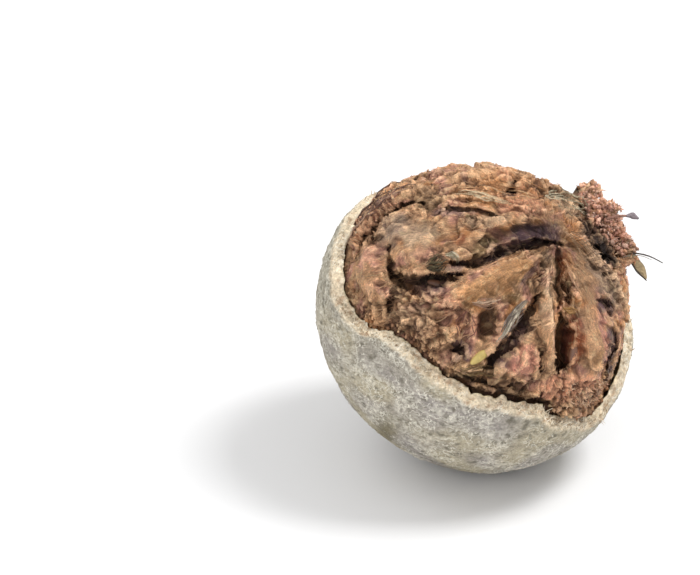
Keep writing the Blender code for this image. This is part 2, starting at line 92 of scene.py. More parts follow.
def on_fruit(face_points):
    """Face points in mm, lifted onto the front of the ellipsoid: w is depth x the root of what is left."""
    flat = np.column_stack([np.atleast_2d(face_points) * MM, np.zeros(len(np.atleast_2d(face_points)))])
    left_over = 1 - ((flat @ OUTLINE_AXES.T / OUTLINE_HALVES) ** 2).sum(axis=1)
    flat[:, 2] = DEEP_HALF * np.sqrt(np.clip(left_over, 0, None))
    return flat


AXIS = unit(on_fruit([HUB])[0])
AXIS_RIGHT = unit(np.array([1.0, 0, 0]) - AXIS[0] * AXIS)
FRUIT_TO_FACE = np.column_stack([AXIS_RIGHT, np.cross(AXIS, AXIS_RIGHT), AXIS])


def lowest_point():
    """The ellipsoid's lowest point: the one where its normal points straight down."""
    down = FACE_TO_WORLD.T @ np.array([0, 0, -1.0])
    stretched = OUTLINE_AXES @ down * OUTLINE_HALVES
    return FACE_TO_WORLD @ (OUTLINE_AXES.T @ (stretched * OUTLINE_HALVES) / np.linalg.norm(stretched))


FRUIT_MIDDLE = -lowest_point() - np.array([0, 0, REST_SPOT_DEPTH])


def face_to_world(points):
    return points @ FACE_TO_WORLD.T + FRUIT_MIDDLE


def directions(polar, around):
    """Unit vectors on the face for a polar angle from the hub and an angle round the fruit's axis."""
    flat = np.sin(polar)
    local = np.broadcast_arrays(flat * np.cos(around), flat * np.sin(around), np.cos(polar))
    return np.stack(local, axis=-1) @ FRUIT_TO_FACE.T


print("the fruit's middle, in mm:", (FRUIT_MIDDLE / MM).round(1))

# %% [markdown]
# ## Noise
#
# Torn pulp and scurfy rind are irregular at every scale. Two kinds of noise make nearly all of it here.
# *Slope noise* rolls smoothly up and down, for dents, mottling and wandering strings. *Clump noise* splits
# space into rounded cells with creases between them, as matted pulp does. Both have fixed seeds, so the
# fruit comes out the same every time.

# %% Slope noise and clump noise
def noise_tables(seed):
    random = np.random.default_rng(seed)
    slopes = random.normal(size=(256, 3))
    return random.permutation(256), slopes / np.linalg.norm(slopes, axis=1, keepdims=True)


SHUFFLE, SLOPES = noise_tables(5)
SCATTER = np.random.default_rng(6).random((256, 3))


def corner_number(x, y, z):
    """A number from 0 to 255 for each cell of the unit grid, the same every time for the same cell."""
    return SHUFFLE[(SHUFFLE[(SHUFFLE[x & 255] + y) & 255] + z) & 255]


def slope_noise(points):
    """Gradient noise, about -1 to 1: a random slope at each corner of the unit grid, blended smoothly."""
    points = np.asarray(points)
    shape = points.shape[:-1]
    points = points.reshape(-1, 3)
    cell = np.floor(points).astype(int)
    inside = points - cell
    blend = inside**3 * (inside * (inside * 6 - 15) + 10)
    total = np.zeros(len(points))
    for corner in itertools.product((0, 1), repeat=3):
        slope = SLOPES[corner_number(*(cell + corner).T)]
        share = np.prod(np.where(corner, blend, 1 - blend), axis=1)
        total += share * np.einsum("ij,ij->i", slope, inside - corner)
    return 1.6 * total.reshape(shape)


def clump_noise(points):
    """(rise, crease, number): rise is 1 at each cell's middle and falls with distance squared, crease is 0 on
    the border between two cells and 1 away from it, and number is random for each cell."""
    shape = points.shape[:-1]
    points = points.reshape(-1, 3)
    cell = np.floor(points).astype(int)
    nearest = np.full(len(points), 9.0)
    second = np.full(len(points), 9.0)
    number = np.zeros(len(points), int)
    for step in itertools.product((-1, 0, 1), repeat=3):
        which = corner_number(*(cell + step).T)
        away = np.linalg.norm(cell + step + SCATTER[which] - points, axis=1)
        second = np.minimum(second, np.maximum(away, nearest))
        number = np.where(away < nearest, which, number)
        nearest = np.minimum(away, nearest)
    rise = 1 - np.clip(nearest, 0, 1) ** 2
    crease = smooth_step(0.0, 0.35, second - nearest)
    return rise.reshape(shape), crease.reshape(shape), (number / 255).reshape(shape)


def noise_vectors(points, offset=0.0):
    """Three separate slope noises as a vector."""
    return np.stack([slope_noise(points + offset + shift) for shift in (0.0, 31.7, 67.3)], axis=-1)


def fruit_radius(towards):
    """Distance from the fruit's middle to its outside: the ellipsoid's radius plus shallow dents."""
    across = towards @ OUTLINE_AXES.T / OUTLINE_HALVES
    return 1 / np.linalg.norm(across, axis=-1) + DENT_HEIGHT * slope_noise(towards * 2.6 + 9.0)


# %% [markdown]
# ## The broken rim
#
# The rind breaks in short straight runs, so the rim is a list of corners: the angle round the axis and the
# polar angle where the break is. Finer jags come from slope noise. Both skins use the same rim, and so do
# the whiskers and crumbs along it.

# %% The rim's line
RIM = (
    (-170, 92), (-160, 89), (-152, 84), (-146, 76), (-134, 72), (-122, 71), (-111, 68), (-103, 69),
    (-94, 65), (-76, 64), (-68, 69), (-57, 71), (-46, 77), (-34, 80), (-25, 76), (-13, 68),
    (-5, 65), (6, 66), (20, 71), (35, 76), (60, 84), (85, 92), (104, 95), (120, 99), (138, 95), (165, 92),
)
RIM_JAG = math.radians(1.4)
FINE_JAG = math.radians(0.75)


def on_circle(around):
    """Points of the unit circle: noise that is read there closes up after a full turn."""
    return np.stack([np.cos(around), np.sin(around), np.zeros_like(around)], axis=-1)


def rim_polar(around):
    """The rim's polar angle: straight runs between the corners, plus two sizes of jag."""
    corners = np.array(RIM, float)
    main = np.interp(np.degrees(around), corners[:, 0], corners[:, 1], period=360)
    ring = on_circle(around)
    jags = 0.6 * slope_noise(ring * 9.0 + 3.0) + 0.4 * slope_noise(ring * 21.0 + 7.0)
    return np.radians(main) + RIM_JAG * jags


def fine_jags(around):
    """Small teeth on the rim: two more slope noises, about 2 mm and 1 mm long."""
    ring = on_circle(around)
    return FINE_JAG * (0.6 * slope_noise(ring * 38.0 + 1.0) + 0.5 * slope_noise(ring * 80.0 + 5.0))


# %% [markdown]
# ## Camera, floor and light
#
# The camera looks 28 degrees down, from far enough that the perspective is weak. The fruit sits to the right
# of the picture's middle and below it, so the camera is aimed a little to the fruit's left and above it.
# The floor is a broad, nearly white sheet. The light is soft: a large panel at the upper right, weaker
# ones in front and at the left, and a pale sky that fills the shadows.

# %% Camera
PICTURE_SCALE = 3940.0
FRUIT_PIXEL = (476.0, 313.0)
PICTURE_SIZE = (700, 575)
CAMERA_DISTANCE = 1.1
SENSOR_WIDTH = 36.0

camera_data = bpy.data.cameras.new("camera")
camera = bpy.data.objects.new("camera", camera_data)
scene.collection.objects.link(camera)
scene.camera = camera
camera_data.sensor_width = SENSOR_WIDTH
camera_data.lens = PICTURE_SCALE * CAMERA_DISTANCE / PICTURE_SIZE[0] * SENSOR_WIDTH
camera_place = face_to_world(np.array([0, 0, CAMERA_DISTANCE]))
aim_pixels = np.array([PICTURE_SIZE[0] / 2 - FRUIT_PIXEL[0], FRUIT_PIXEL[1] - PICTURE_SIZE[1] / 2, 0])
aim = aim_pixels / PICTURE_SCALE
camera.location = camera_place
look = Vector(face_to_world(aim) - camera_place)
camera.rotation_euler = look.to_track_quat("-Z", "Y").to_euler()
print("lens, in mm:", round(camera_data.lens, 1))


# %% Floor
def new_material(name, roughness=0.5):
    """A material with its nodes and links at hand: (material, nodes, links, Principled BSDF)."""
    material = bpy.data.materials.new(name)
    material.use_nodes = True
    nodes, links = material.node_tree.nodes, material.node_tree.links
    shader = nodes["Principled BSDF"]
    shader.inputs["Roughness"].default_value = roughness
    return material, nodes, links, shader


floor_material, _, _, floor_shader = new_material("pale sheet", 0.45)
floor_shader.inputs["Base Color"].default_value = (0.77, 0.77, 0.775, 1)
floor_shader.inputs["Specular IOR Level"].default_value = 0.25
FLOOR_HALF = 6.0
floor_corners = np.array([(-1, -1, 0), (1, -1, 0), (1, 1, 0), (-1, 1, 0)]) * FLOOR_HALF
floor_mesh = bpy.data.meshes.new("floor")
floor_mesh.from_pydata(floor_corners.tolist(), [], [(0, 1, 2, 3)])
floor_mesh.materials.append(floor_material)
floor = bpy.data.objects.new("floor", floor_mesh)
scene.collection.objects.link(floor)


# %% Light
def soft_panel(name, place, size, power):
    """A square white lamp that faces the fruit's middle."""
    data = bpy.data.lights.new(name, "AREA")
    data.shape = "SQUARE"
    data.size = size
    data.energy = power
    lamp = bpy.data.objects.new(name, data)
    scene.collection.objects.link(lamp)
    lamp.location = place
    lamp.rotation_euler = (Vector(FRUIT_MIDDLE) - Vector(place)).to_track_quat("-Z", "Y").to_euler()


soft_panel("upper right panel", (0.46, 0.06, 0.80), 0.34, 7.0)
soft_panel("front panel", (-0.35, -0.95, 0.45), 0.8, 4.0)
soft_panel("upper left panel", (-0.55, 0.1, 0.70), 0.7, 2.2)
world = bpy.data.worlds.new("pale sky")
world.use_nodes = True
sky = world.node_tree.nodes["Background"]
sky.inputs["Color"].default_value = (1, 1, 1, 1)
sky.inputs["Strength"].default_value = 0.68
scene.world = world
scene.view_settings.view_transform = "Standard"

# %% [markdown]
# ## Surfaces on grids
#
# Both skins are balls wound round the fruit's axis: a grid of rings and segments, closed by a fan of
# triangles at each pole. One helper turns such a grid of points into a mesh, and others store colours or
# vectors on its points for the materials to read.

# %% Ball meshes and attributes
def ball_faces(ring_count, segment_count):
    """(corners, sizes) of a ball's faces: a fan at each pole and quads between the rings."""
    index = 1 + np.arange(ring_count * segment_count).reshape(ring_count, segment_count)
    after = np.roll(index, -1, axis=1)
    quads = np.stack([index[:-1], index[1:], after[1:], after[:-1]], axis=-1).reshape(-1, 4)
    first_fan = np.stack([np.zeros(segment_count, int), index[0], after[0]], axis=-1)
    last_fan = np.stack([np.full(segment_count, index[-1, -1] + 1), after[-1], index[-1]], axis=-1)
    corners = np.concatenate([first_fan.ravel(), quads.ravel(), last_fan.ravel()])
    sizes = np.concatenate([np.full(segment_count, 3), np.full(len(quads), 4), np.full(segment_count, 3)])
    return corners, sizes


def ball_piece(name, first, rings, last, material):
    """A closed ball from a first pole, a grid of points (rings, segments, 3) and a last pole."""
    points = np.concatenate([first[None], rings.reshape(-1, 3), last[None]])
    return array_piece(name, points, *ball_faces(*rings.shape[:2]), material)


def array_piece(name, points, corners, sizes, material):
    """A smooth mesh object from flat arrays: points, every face's corners in turn, and each face's size."""
    mesh = bpy.data.meshes.new(name)
    mesh.vertices.add(len(points))
    mesh.vertices.foreach_set("co", points.ravel())
    mesh.loops.add(len(corners))
    mesh.loops.foreach_set("vertex_index", corners)
    mesh.polygons.add(len(sizes))
    mesh.polygons.foreach_set("loop_start", np.concatenate([[0], np.cumsum(sizes)[:-1]]))
    mesh.polygons.foreach_set("loop_total", sizes)
    mesh.update(calc_edges=True)
    mesh.validate()
    mesh.shade_smooth()
    mesh.materials.append(material)
    piece = bpy.data.objects.new(name, mesh)
    scene.collection.objects.link(piece)
    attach(piece, "root")
    print(name, "has", int((sizes - 2).sum()), "triangles")
    return piece


def store_colours(piece, name, colours):
    full = np.concatenate([colours, np.ones((len(colours), 1))], axis=1)
    piece.data.attributes.new(name, "FLOAT_COLOR", "POINT").data.foreach_set("color", full.ravel())


def store_vectors(piece, name, vectors):
    piece.data.attributes.new(name, "FLOAT_VECTOR", "POINT").data.foreach_set("vector", vectors.ravel())


def with_poles(grid):
    """A grid's values as a flat list, with the first and the last repeated for the two poles."""
    flat = grid.reshape(-1, grid.shape[-1])
    return np.concatenate([flat[:1], flat, flat[-1:]])


# %% [markdown]
# ## Shader groups
#
# Two effects are used by more than one material, so each is a node group. *Mottle* gives a colour some
# lighter and darker blotches at a chosen scale. *Grain* turns two sizes of noise into a bumped normal.

# %% Mottle and grain
def new_group(name, inputs, outputs):
    """An empty shader group with its sockets: each is (name, kind, default value)."""
    group = bpy.data.node_groups.new(name, "ShaderNodeTree")
    for way, sockets in (("INPUT", inputs), ("OUTPUT", outputs)):
        for label, kind, value in sockets:
            socket = group.interface.new_socket(label, in_out=way, socket_type="NodeSocket" + kind)
            if value is not None:
                socket.default_value = value
    return group, group.nodes.new("NodeGroupInput"), group.nodes.new("NodeGroupOutput")


def give(links, socket, given):
    """Links an input to the given socket, or sets it to the given value."""
    if hasattr(given, "links"):
        links.new(given, socket)
    else:
        socket.default_value = given


def noise_node(nodes, links, scale, detail, roughness, vector):
    node = nodes.new("ShaderNodeTexNoise")
    for label, given in (("Detail", detail), ("Roughness", roughness), ("Scale", scale), ("Vector", vector)):
        give(links, node.inputs[label], given)
    return node


def math_node(nodes, links, operation, *values):
    """The result of a Math node. Each value may be a socket or a number."""
    node = nodes.new("ShaderNodeMath")
    node.operation = operation
    for socket, given in zip(node.inputs, values):
        give(links, socket, given)
    return node.outputs[0]


def ramp_between(nodes, links, value, low, high):
    """A Map Range node from low..high to 0..1, smoothed."""
    node = nodes.new("ShaderNodeMapRange")
    node.interpolation_type = "SMOOTHSTEP"
    node.inputs["From Min"].default_value = low
    node.inputs["From Max"].default_value = high
    links.new(value, node.inputs["Value"])
    return node.outputs["Result"]


def mix_colours(nodes, links, factor, first, second):
    """The first socket's colour, moved by the factor socket's share towards a fixed second colour."""
    node = nodes.new("ShaderNodeMix")
    node.data_type = "RGBA"
    links.new(factor, node.inputs[0])
    links.new(first, node.inputs[6])
    node.inputs[7].default_value = (*second, 1.0)
    return node.outputs[2]


def make_mottle_group():
    group, entry, leave = new_group(
        "mottle",
        (("Color", "Color", (0.5, 0.5, 0.5, 1)), ("Vector", "Vector", None), ("Scale", "Float", 300.0),
         ("Amount", "Float", 0.3)),
        (("Color", "Color", None), ("Value", "Float", None)),
    )
    nodes, links = group.nodes, group.links
    noise = noise_node(nodes, links, entry.outputs["Scale"], 4.0, 0.65, entry.outputs["Vector"])
    spread = ramp_between(nodes, links, noise.outputs["Fac"], 0.3, 0.7)
    centred = math_node(nodes, links, "SUBTRACT", spread, 0.5)
    scaled = math_node(nodes, links, "MULTIPLY_ADD", centred, entry.outputs["Amount"], 1.0)
    product = nodes.new("ShaderNodeVectorMath")
    product.operation = "SCALE"
    links.new(entry.outputs["Color"], product.inputs[0])
    links.new(scaled, product.inputs["Scale"])
    links.new(product.outputs[0], leave.inputs["Color"])
    links.new(spread, leave.inputs["Value"])
    return group


def make_grain_group():
    group, entry, leave = new_group(
        "grain",
        (("Vector", "Vector", None), ("Scale", "Float", 1200.0), ("Depth", "Float", 0.0002)),
        (("Normal", "Vector", None), ("Value", "Float", None)),
    )
    nodes, links = group.nodes, group.links
    noise = noise_node(nodes, links, entry.outputs["Scale"], 5.0, 0.7, entry.outputs["Vector"])
    bump = nodes.new("ShaderNodeBump")
    links.new(noise.outputs["Fac"], bump.inputs["Height"])
    links.new(entry.outputs["Depth"], bump.inputs["Distance"])
    links.new(bump.outputs["Normal"], leave.inputs["Normal"])
    links.new(noise.outputs["Fac"], leave.inputs["Value"])
    return group


MOTTLE = make_mottle_group()
GRAIN = make_grain_group()


def place_group(nodes, links, group, vector, **values):
    """A group node with its vector linked, and each named input linked or set."""
    node = nodes.new("ShaderNodeGroup")
    node.node_tree = group
    links.new(vector, node.inputs["Vector"])
    for label, given in values.items():
        give(links, node.inputs[label], given)
    return node


def attribute_node(nodes, name):
    node = nodes.new("ShaderNodeAttribute")
    node.attribute_name = name
    return node


print("groups:", [group.name for group in bpy.data.node_groups])

# %% [markdown]
# ## The rind
#
# The rind is one closed skin: it starts at the stem scar, runs up the outside to the rim, crosses the pale
# broken edge and goes back down the inside. The outside is scurfy, a mat of pale raised flecks and worm
# tracks with darker pits, so it gets real relief of up to half a millimetre, and the same pattern is
# stored on its points so that the raised flecks can be paler than what lies between them.

# %% The rind's relief
SHELL_SEGMENTS, OUTER_RINGS, EDGE_RINGS, INNER_RINGS = 470, 166, 13, 20
EDGE_WALL = 2.3 * MM
EDGE_BEVEL = (0.8 * MM, 1.1 * MM)
SCURF_HEIGHT = 0.46 * MM


def scar_relief(polar, around):
    """The stem scar: a dish, a raised ring, a pit and radial wrinkles, each a bell curve of the distance."""
    away = (math.pi - polar) * DEEP_HALF / MM
    dish = -0.9 * np.exp(-((away / 6.5) ** 2))
    ring = 0.9 * np.exp(-(((away - 2.8) / 0.9) ** 2)) * (1 + 0.2 * np.cos(5 * around + 1))
    pit = -0.7 * np.exp(-((away / 1.3) ** 2))
    wrinkles = 0.22 * np.cos(9 * around + np.sin(2 * around)) * np.exp(-(((away - 6.5) / 2.2) ** 2))
    return (dish + ring + pit + wrinkles) * MM


def scurf(points):
    """Worm tracks and flecks, 0 to 1: thin ridges where a warped slope noise crosses nought, in patches."""
    warped = points / MM + 1.1 * noise_vectors(points / (2.1 * MM))
    tracks = 1 - smooth_step(0.0, 0.26, np.abs(slope_noise(warped / 1.9)))
    fine = 1 - smooth_step(0.0, 0.3, np.abs(slope_noise(warped / 1.05 + 50)))
    patches = smooth_step(-0.35, 0.35, slope_noise(points / (7.0 * MM) + 12))
    return np.clip(0.6 * tracks * patches + 0.45 * fine * (0.45 + 0.55 * patches), 0, 1)


def shell_rings():
    """(rings, kind, near_edge, flecks): the skin's points from the scar up the outside, over the broken edge
    and down the inside, each ring's kind (0 outside, 1 edge, 2 inside) and two shares for the paint."""
    around = np.linspace(-math.pi, math.pi, SHELL_SEGMENTS, endpoint=False)
    rim = rim_polar(around) + fine_jags(around)
    up = np.linspace(0, 1, OUTER_RINGS + 1)[1:]
    up = up - 0.35 * np.sin(2 * np.pi * up) / (2 * np.pi)
    polar = math.pi - up[:, None] * (math.pi - rim[None] - EDGE_BEVEL[0] / DEEP_HALF)
    towards = directions(polar, around[None])
    outside = fruit_radius(towards)
    skin = towards * outside[..., None]
    fleck = scurf(skin)
    to_rim = (polar - polar[-1:]) * DEEP_HALF
    chip = 0.55 + 0.45 * slope_noise(skin / (2.4 * MM) + 5)
    chamfer = 0.6 * MM * chip * (1 - smooth_step(0.0, 1.5 * MM, to_rim))
    rough = 0.10 * MM * slope_noise(skin / (0.9 * MM)) + 0.16 * MM * slope_noise(skin / (3.3 * MM) + 4)
    radius = outside + scar_relief(polar, around[None]) + SCURF_HEIGHT * (fleck - 0.4) + rough - chamfer
    outer = towards * radius[..., None]

    across = np.linspace(0, 1, EDGE_RINGS + 2)[1:-1, None]
    uneven = 1 + 0.5 * slope_noise(directions(rim[None], around[None]) * 17.0)
    bevel = across**0.7 * sum(EDGE_BEVEL) * uneven
    edge_polar = polar[-1:] - bevel / DEEP_HALF
    edge_towards = directions(edge_polar, around[None])
    wall = EDGE_WALL * (1 + 0.22 * slope_noise(edge_towards * 11.0))
    edge_radius = radius[-1][None] - across * wall
    edge = edge_towards * edge_radius[..., None]
    crumble = 0.42 * noise_vectors(edge / (0.8 * MM)) + 0.42 * noise_vectors(edge / (1.9 * MM), 8.0)
    hump = np.sin(np.pi * across)[..., None]
    edge = edge + crumble * MM * (0.35 + 0.65 * hump)

    down = np.linspace(0, 1, INNER_RINGS + 1)[:-1, None] ** 1.8
    top = edge_polar[-1:] - 0.12 * bevel[-1:] / DEEP_HALF
    inner_polar = top + down * (math.pi - top) * 0.985
    inner_towards = directions(inner_polar, around[None])
    deepest = WALL * smooth_step(-0.02, 0.12, down) + EDGE_WALL * 1.05 * (1 - smooth_step(-0.02, 0.12, down))
    inner_radius = fruit_radius(inner_towards) - deepest - chamfer[-1][None] * (1 - smooth_step(0, 0.1, down))
    over_scar = np.exp(-(((math.pi - inner_polar) * DEEP_HALF / (7.5 * MM)) ** 2))
    inner_radius = inner_radius - 1.2 * MM * over_scar
    inner = inner_towards * inner_radius[..., None]
    inner = inner + 0.12 * MM * slope_noise(inner / (1.4 * MM))[..., None] * inner_towards

    rings = np.concatenate([outer, edge, inner])
    kind = np.repeat([0, 1, 2], [OUTER_RINGS, EDGE_RINGS, INNER_RINGS])
    near_edge = np.concatenate([
        1 - smooth_step(0.0, 1.3 * MM, to_rim), np.ones((EDGE_RINGS, SHELL_SEGMENTS)),
        1 - smooth_step(0.0, 0.05, down) + np.zeros((INNER_RINGS, SHELL_SEGMENTS)),
    ])
    flecks = np.concatenate([fleck, np.zeros((EDGE_RINGS + INNER_RINGS, SHELL_SEGMENTS))])
    return rings, kind, near_edge, flecks


# %% [markdown]
# ### The rind's colours
#
# The rind is a pale green-grey, warmer near the rim, with darker specks, and painted shade makes it
# lilac-grey low down. The broken edge is cream and the inside olive-cream. The colour is painted on the
# points from the grid's own facts, and the material adds what is finer than the mesh: specks, pits and a
# dusty grain.

# %% Paint and build the rind
def colour(code):
    """A colour from its red, green and blue as seen on a screen, turned into linear light."""
    screen = np.array([int(code[i : i + 2], 16) for i in (0, 2, 4)]) / 255
    return np.where(screen < 0.04045, screen / 12.92, ((screen + 0.055) / 1.055) ** 2.4)


def blend_towards(colours, other, share):
    """Each point's colour moved that share of the way to another colour."""
    return colours + (other - colours) * np.clip(share, 0, 1)[..., None]


# An olive blemish low on the left: its place on the face and its half width, in mm
BLEMISH, BLEMISH_HALF = (-22, -29.5), 3.2


def bark_colours(points, kind, near_edge, flecks):
    # Painted shade: low grows towards the bottom of the rind, which is painted lilac-grey there in patches
    low = smooth_step(8 * MM, -26 * MM, points @ np.array([0.25, 1.0, 0.1]))
    paint = np.zeros(points.shape) + colour("98917F")
    patches = 0.6 + 0.6 * slope_noise(points / (9 * MM) + 3)
    paint = blend_towards(paint, colour("918A89"), 0.85 * low * patches)
    paint = blend_towards(paint, colour("A59B84"), smooth_step(-0.1, 0.5, slope_noise(points / (12 * MM))))
    paint = blend_towards(paint, colour("D8D2C3"), 0.85 * flecks)
    dark = smooth_step(0.25, 0.55, slope_noise(points / (1.7 * MM) + 33)) * (1 - flecks)
    paint = blend_towards(paint, colour("5F5A4B"), 0.75 * dark)
    away = np.hypot(points[..., 0] / MM - BLEMISH[0], points[..., 1] / MM - BLEMISH[1]) / BLEMISH_HALF
    paint = blend_towards(paint, colour("6E6444"), 0.8 * np.exp(-(away**2)) * (points[..., 2] > 0))
    crack = smooth_step(0.1, 0.5, slope_noise(points / (1.5 * MM) + 70)) * near_edge
    pale = smooth_step(0.1, 0.5, slope_noise(points / (1.1 * MM) + 90)) * near_edge
    paint = blend_towards(paint, colour("D9C8AC"), 0.92 * near_edge)
    paint = blend_towards(paint, colour("A4866A"), 0.75 * crack)
    paint = blend_towards(paint, colour("F0E4CE"), 0.6 * pale)
    inside = np.zeros(points.shape) + colour("A99C78")
    inside = blend_towards(inside, colour("D8C9A4"), near_edge)
    return np.where((kind == 2)[:, None, None], inside, paint)


def thin_lines(nodes, links, where, scale, width, strength):
    """Patches of wandering lines, where a noise crosses its middle value: strength on a line and 0 off it."""
    noise = noise_node(nodes, links, scale, 2.0, 0.5, where)
    off_middle = math_node(nodes, links, "SUBTRACT", noise.outputs["Fac"], 0.5)
    distance = math_node(nodes, links, "ABSOLUTE", off_middle)
    line = ramp_between(nodes, links, distance, width, 0.25 * width)
    patches = noise_node(nodes, links, 0.28 * scale, 2.0, 0.5, where)
    patch = ramp_between(nodes, links, patches.outputs["Fac"], 0.42, 0.58)
    both = math_node(nodes, links, "MULTIPLY", line, patch)
    return math_node(nodes, links, "MULTIPLY", both, strength)


def bark_material():
    material, nodes, links, shader = new_material("woody rind", 0.8)
    where = nodes.new("ShaderNodeTexCoord").outputs["Object"]
    paint = attribute_node(nodes, "paint").outputs["Color"]
    broad = place_group(nodes, links, MOTTLE, where, Color=paint, Scale=420.0, Amount=0.28)
    fine = place_group(nodes, links, MOTTLE, where, Color=broad.outputs["Color"], Scale=1700.0, Amount=0.4)
    pale_lines = thin_lines(nodes, links, where, 560.0, 0.035, 0.7)
    mixed = mix_colours(nodes, links, pale_lines, fine.outputs["Color"], tuple(colour("E6E1D2")))
    dark_lines = thin_lines(nodes, links, where, 700.0, 0.025, 0.55)
    mixed = mix_colours(nodes, links, dark_lines, mixed, tuple(colour("5E594C")))
    specks = noise_node(nodes, links, 900.0, 2.0, 0.5, where)
    speck = ramp_between(nodes, links, specks.outputs["Fac"], 0.62, 0.72)
    faded = math_node(nodes, links, "MULTIPLY", speck, 0.55)
    links.new(mix_colours(nodes, links, faded, mixed, (0.17, 0.15, 0.10)), shader.inputs["Base Color"])
    grain = place_group(nodes, links, GRAIN, where, Scale=1500.0, Depth=0.0003)
    links.new(grain.outputs["Normal"], shader.inputs["Normal"])
    shader.inputs["Specular IOR Level"].default_value = 0.3
    return material


def make_shell():
    rings, kind, near_edge, flecks = shell_rings()
    pole_out = -AXIS * np.linalg.norm(rings[0], axis=-1).mean()
    pole_in = -AXIS * np.linalg.norm(rings[-1], axis=-1).mean()
    paint = bark_colours(rings, kind, near_edge, flecks)
    world_rings = face_to_world(rings)
    world_rings[..., 2] = np.maximum(world_rings[..., 2], 0.0)
    poles = face_to_world(pole_out), face_to_world(pole_in)
    piece = ball_piece("shell_skin", poles[0], world_rings, poles[1], bark_material())
    store_colours(piece, "paint", with_poles(paint))
    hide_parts("shell")
    return piece


shell_skin = make_shell()

# %% [markdown]
# ## The pulp
#
# The ball of pulp was packed tight against the rind and then torn free, so it is lumpy, cleft and stringy.
# The big forms are listed where they are on the face: clefts and ridges follow paths, and hollows
# and swellings are ovals. They are the same ones as in the imported solid. The rest is noise.

# %% The big forms of the pulp
# Where a cleft has two half widths they are for the left and the right of its path
CLEFTS = (
    ("main cleft, hub to left", 7.5, (1.3, 6.2), 0.1,
     ((21, 18.2), (16, 17.3), (11, 16.6), (6, 14.9), (2.3, 12.8), (-1.5, 12.2), (-6, 13.2))),
    ("left cleft", 8.0, (1.5, 4.8), 0.2,
     ((-23.4, 11.5), (-18.3, 9.3), (-14.5, 9.4), (-11, 9.9), (-7.8, 10.5), (-3.8, 10.8))),
    ("upright crack on the left", 3.5, 1.4, 0.1, ((-23.6, 19), (-23.6, 14), (-23, 9.5))),
    ("slanting cleft", 6.0, (5.0, 1.4), 0.15,
     ((16, 5), (13, 1.2), (9.8, -3.3), (6.8, -7.5), (4, -11.5), (2, -15))),
    ("crack down from the hub", 4.0, (3.4, 1.0), 0.1, ((20.0, 18.2), (20.0, 13), (20.2, 8.5), (20.2, 2))),
    ("seed cavity", 7.5, (6.4, 1.2), 0.25, ((20.9, 0.2), (20.4, -6), (20.8, -14.8))),
    ("groove inside the right hand skin", 2.6, 1.6, 0.1,
     ((31, 4), (34, 0), (35.2, -5), (34.6, -11), (33, -18))),
    ("gap behind the torn lining", 5.0, 1.7, 0.2,
     ((-34, 14), (-31, 20), (-26.3, 24.8), (-21, 29), (-14, 29.8))),
    ("shadow line under the pale fibre", 2.4, (0.8, 2.8), 0.1,
     ((-12, 26.8), (-7.8, 27.9), (-2.8, 28), (1, 27.2), (6, 25.6))),
    ("crack in the top layer", 2.0, 0.8, 0.2, ((15.6, 29.4), (19.4, 31))),
    ("crack beside the lower ridge", 2.0, 0.8, 0.2, ((16.8, -8), (16.3, -15))),
)
RIDGES = (
    ("torn lining left on the shell", 1.8, 2.2, 0.5,
     ((-34.5, 17), (-31, 22.5), (-26, 27.6), (-20, 31.6), (-12, 33.4))),
    ("broad lobe below the main cleft", 2.8, 3.8, 0.0,
     ((17.0, 14.2), (11, 12.2), (6, 10.2), (1, 8.0), (-4, 5.2), (-10, 2.4))),
    ("ridge down from the hub", 2.4, 2.0, 0.1,
     ((17.6, 13.6), (17.3, 6.3), (17.8, -1.3), (18.8, -7.5), (18.6, -13.5))),
    ("thin edge right of the hub", 1.0, 0.8, 0.2, ((21.5, 14), (24, 8), (26, 4.5))),
    ("skin rope on the right", 1.8, 1.8, 0.2,
     ((21, 21), (26, 18.3), (30.3, 13.8), (33.8, 9.3), (36.8, 4.5), (38.6, -1))),
    ("pale fibre over the top", 1.1, 1.0, 0.2,
     ((-18, 27), (-11.5, 29.5), (-4, 30.5), (3.5, 28.9), (11, 27.3), (18.5, 25.8))),
    ("top layer", 2.2, 6.0, 0.0, ((-5.5, 35.5), (4, 36.3), (14, 34), (23, 30))),
    ("shaggy crest on the right", 4.8, 4.6, 0.15,
     ((24.4, 30.2), (27.4, 27.4), (31.9, 22.4), (35.2, 17.4), (36.8, 13.6))),
    ("lump at the end of the crest", 6.4, 4.2, 0.2, ((25.2, 29.6), (28.4, 26.4), (31.2, 23.2))),
)
HOLLOWS = (
    ("dark slope above the main cleft", 4.0, (9, 20.0), 14.5, 4.6, 12, 0.3),
    ("recess above the seed cavity", 2.6, (23, 6.2), 4.8, 2.0, 100, 0.3),
    ("hole beside the skin rope", 7.0, (31.0, 16.0), 5.0, 2.8, -42, 0.4),
    ("hollow above that hole", 4.4, (28.2, 23.2), 5.4, 2.8, -52, 0.3),
    ("pit beside the skin rope", 3.6, (33, 3), 3.0, 1.8, -30, 0.2),
    ("round hole in the top layer", 4.2, (8.5, 32), 2.1, 1.6, 60, 0.3),
    ("round pit near the front", 3.2, (-4.5, -8.8), 2.6, 2.2, 0, 0.3),
    ("recess under the broad lobe", 4.4, (3, -2), 6.0, 3.8, 80, 0.4),
    ("hollow at the left", 3.4, (-28, 19.6), 3.6, 2.4, 20, 0.2),
    ("dip below the left lobe", 3.4, (-22.6, 3.6), 4.0, 2.6, 60, 0.2),
    ("hollow over the front rim", 3.6, (6, -17.5), 12.0, 3.4, -6, 0.3),
)
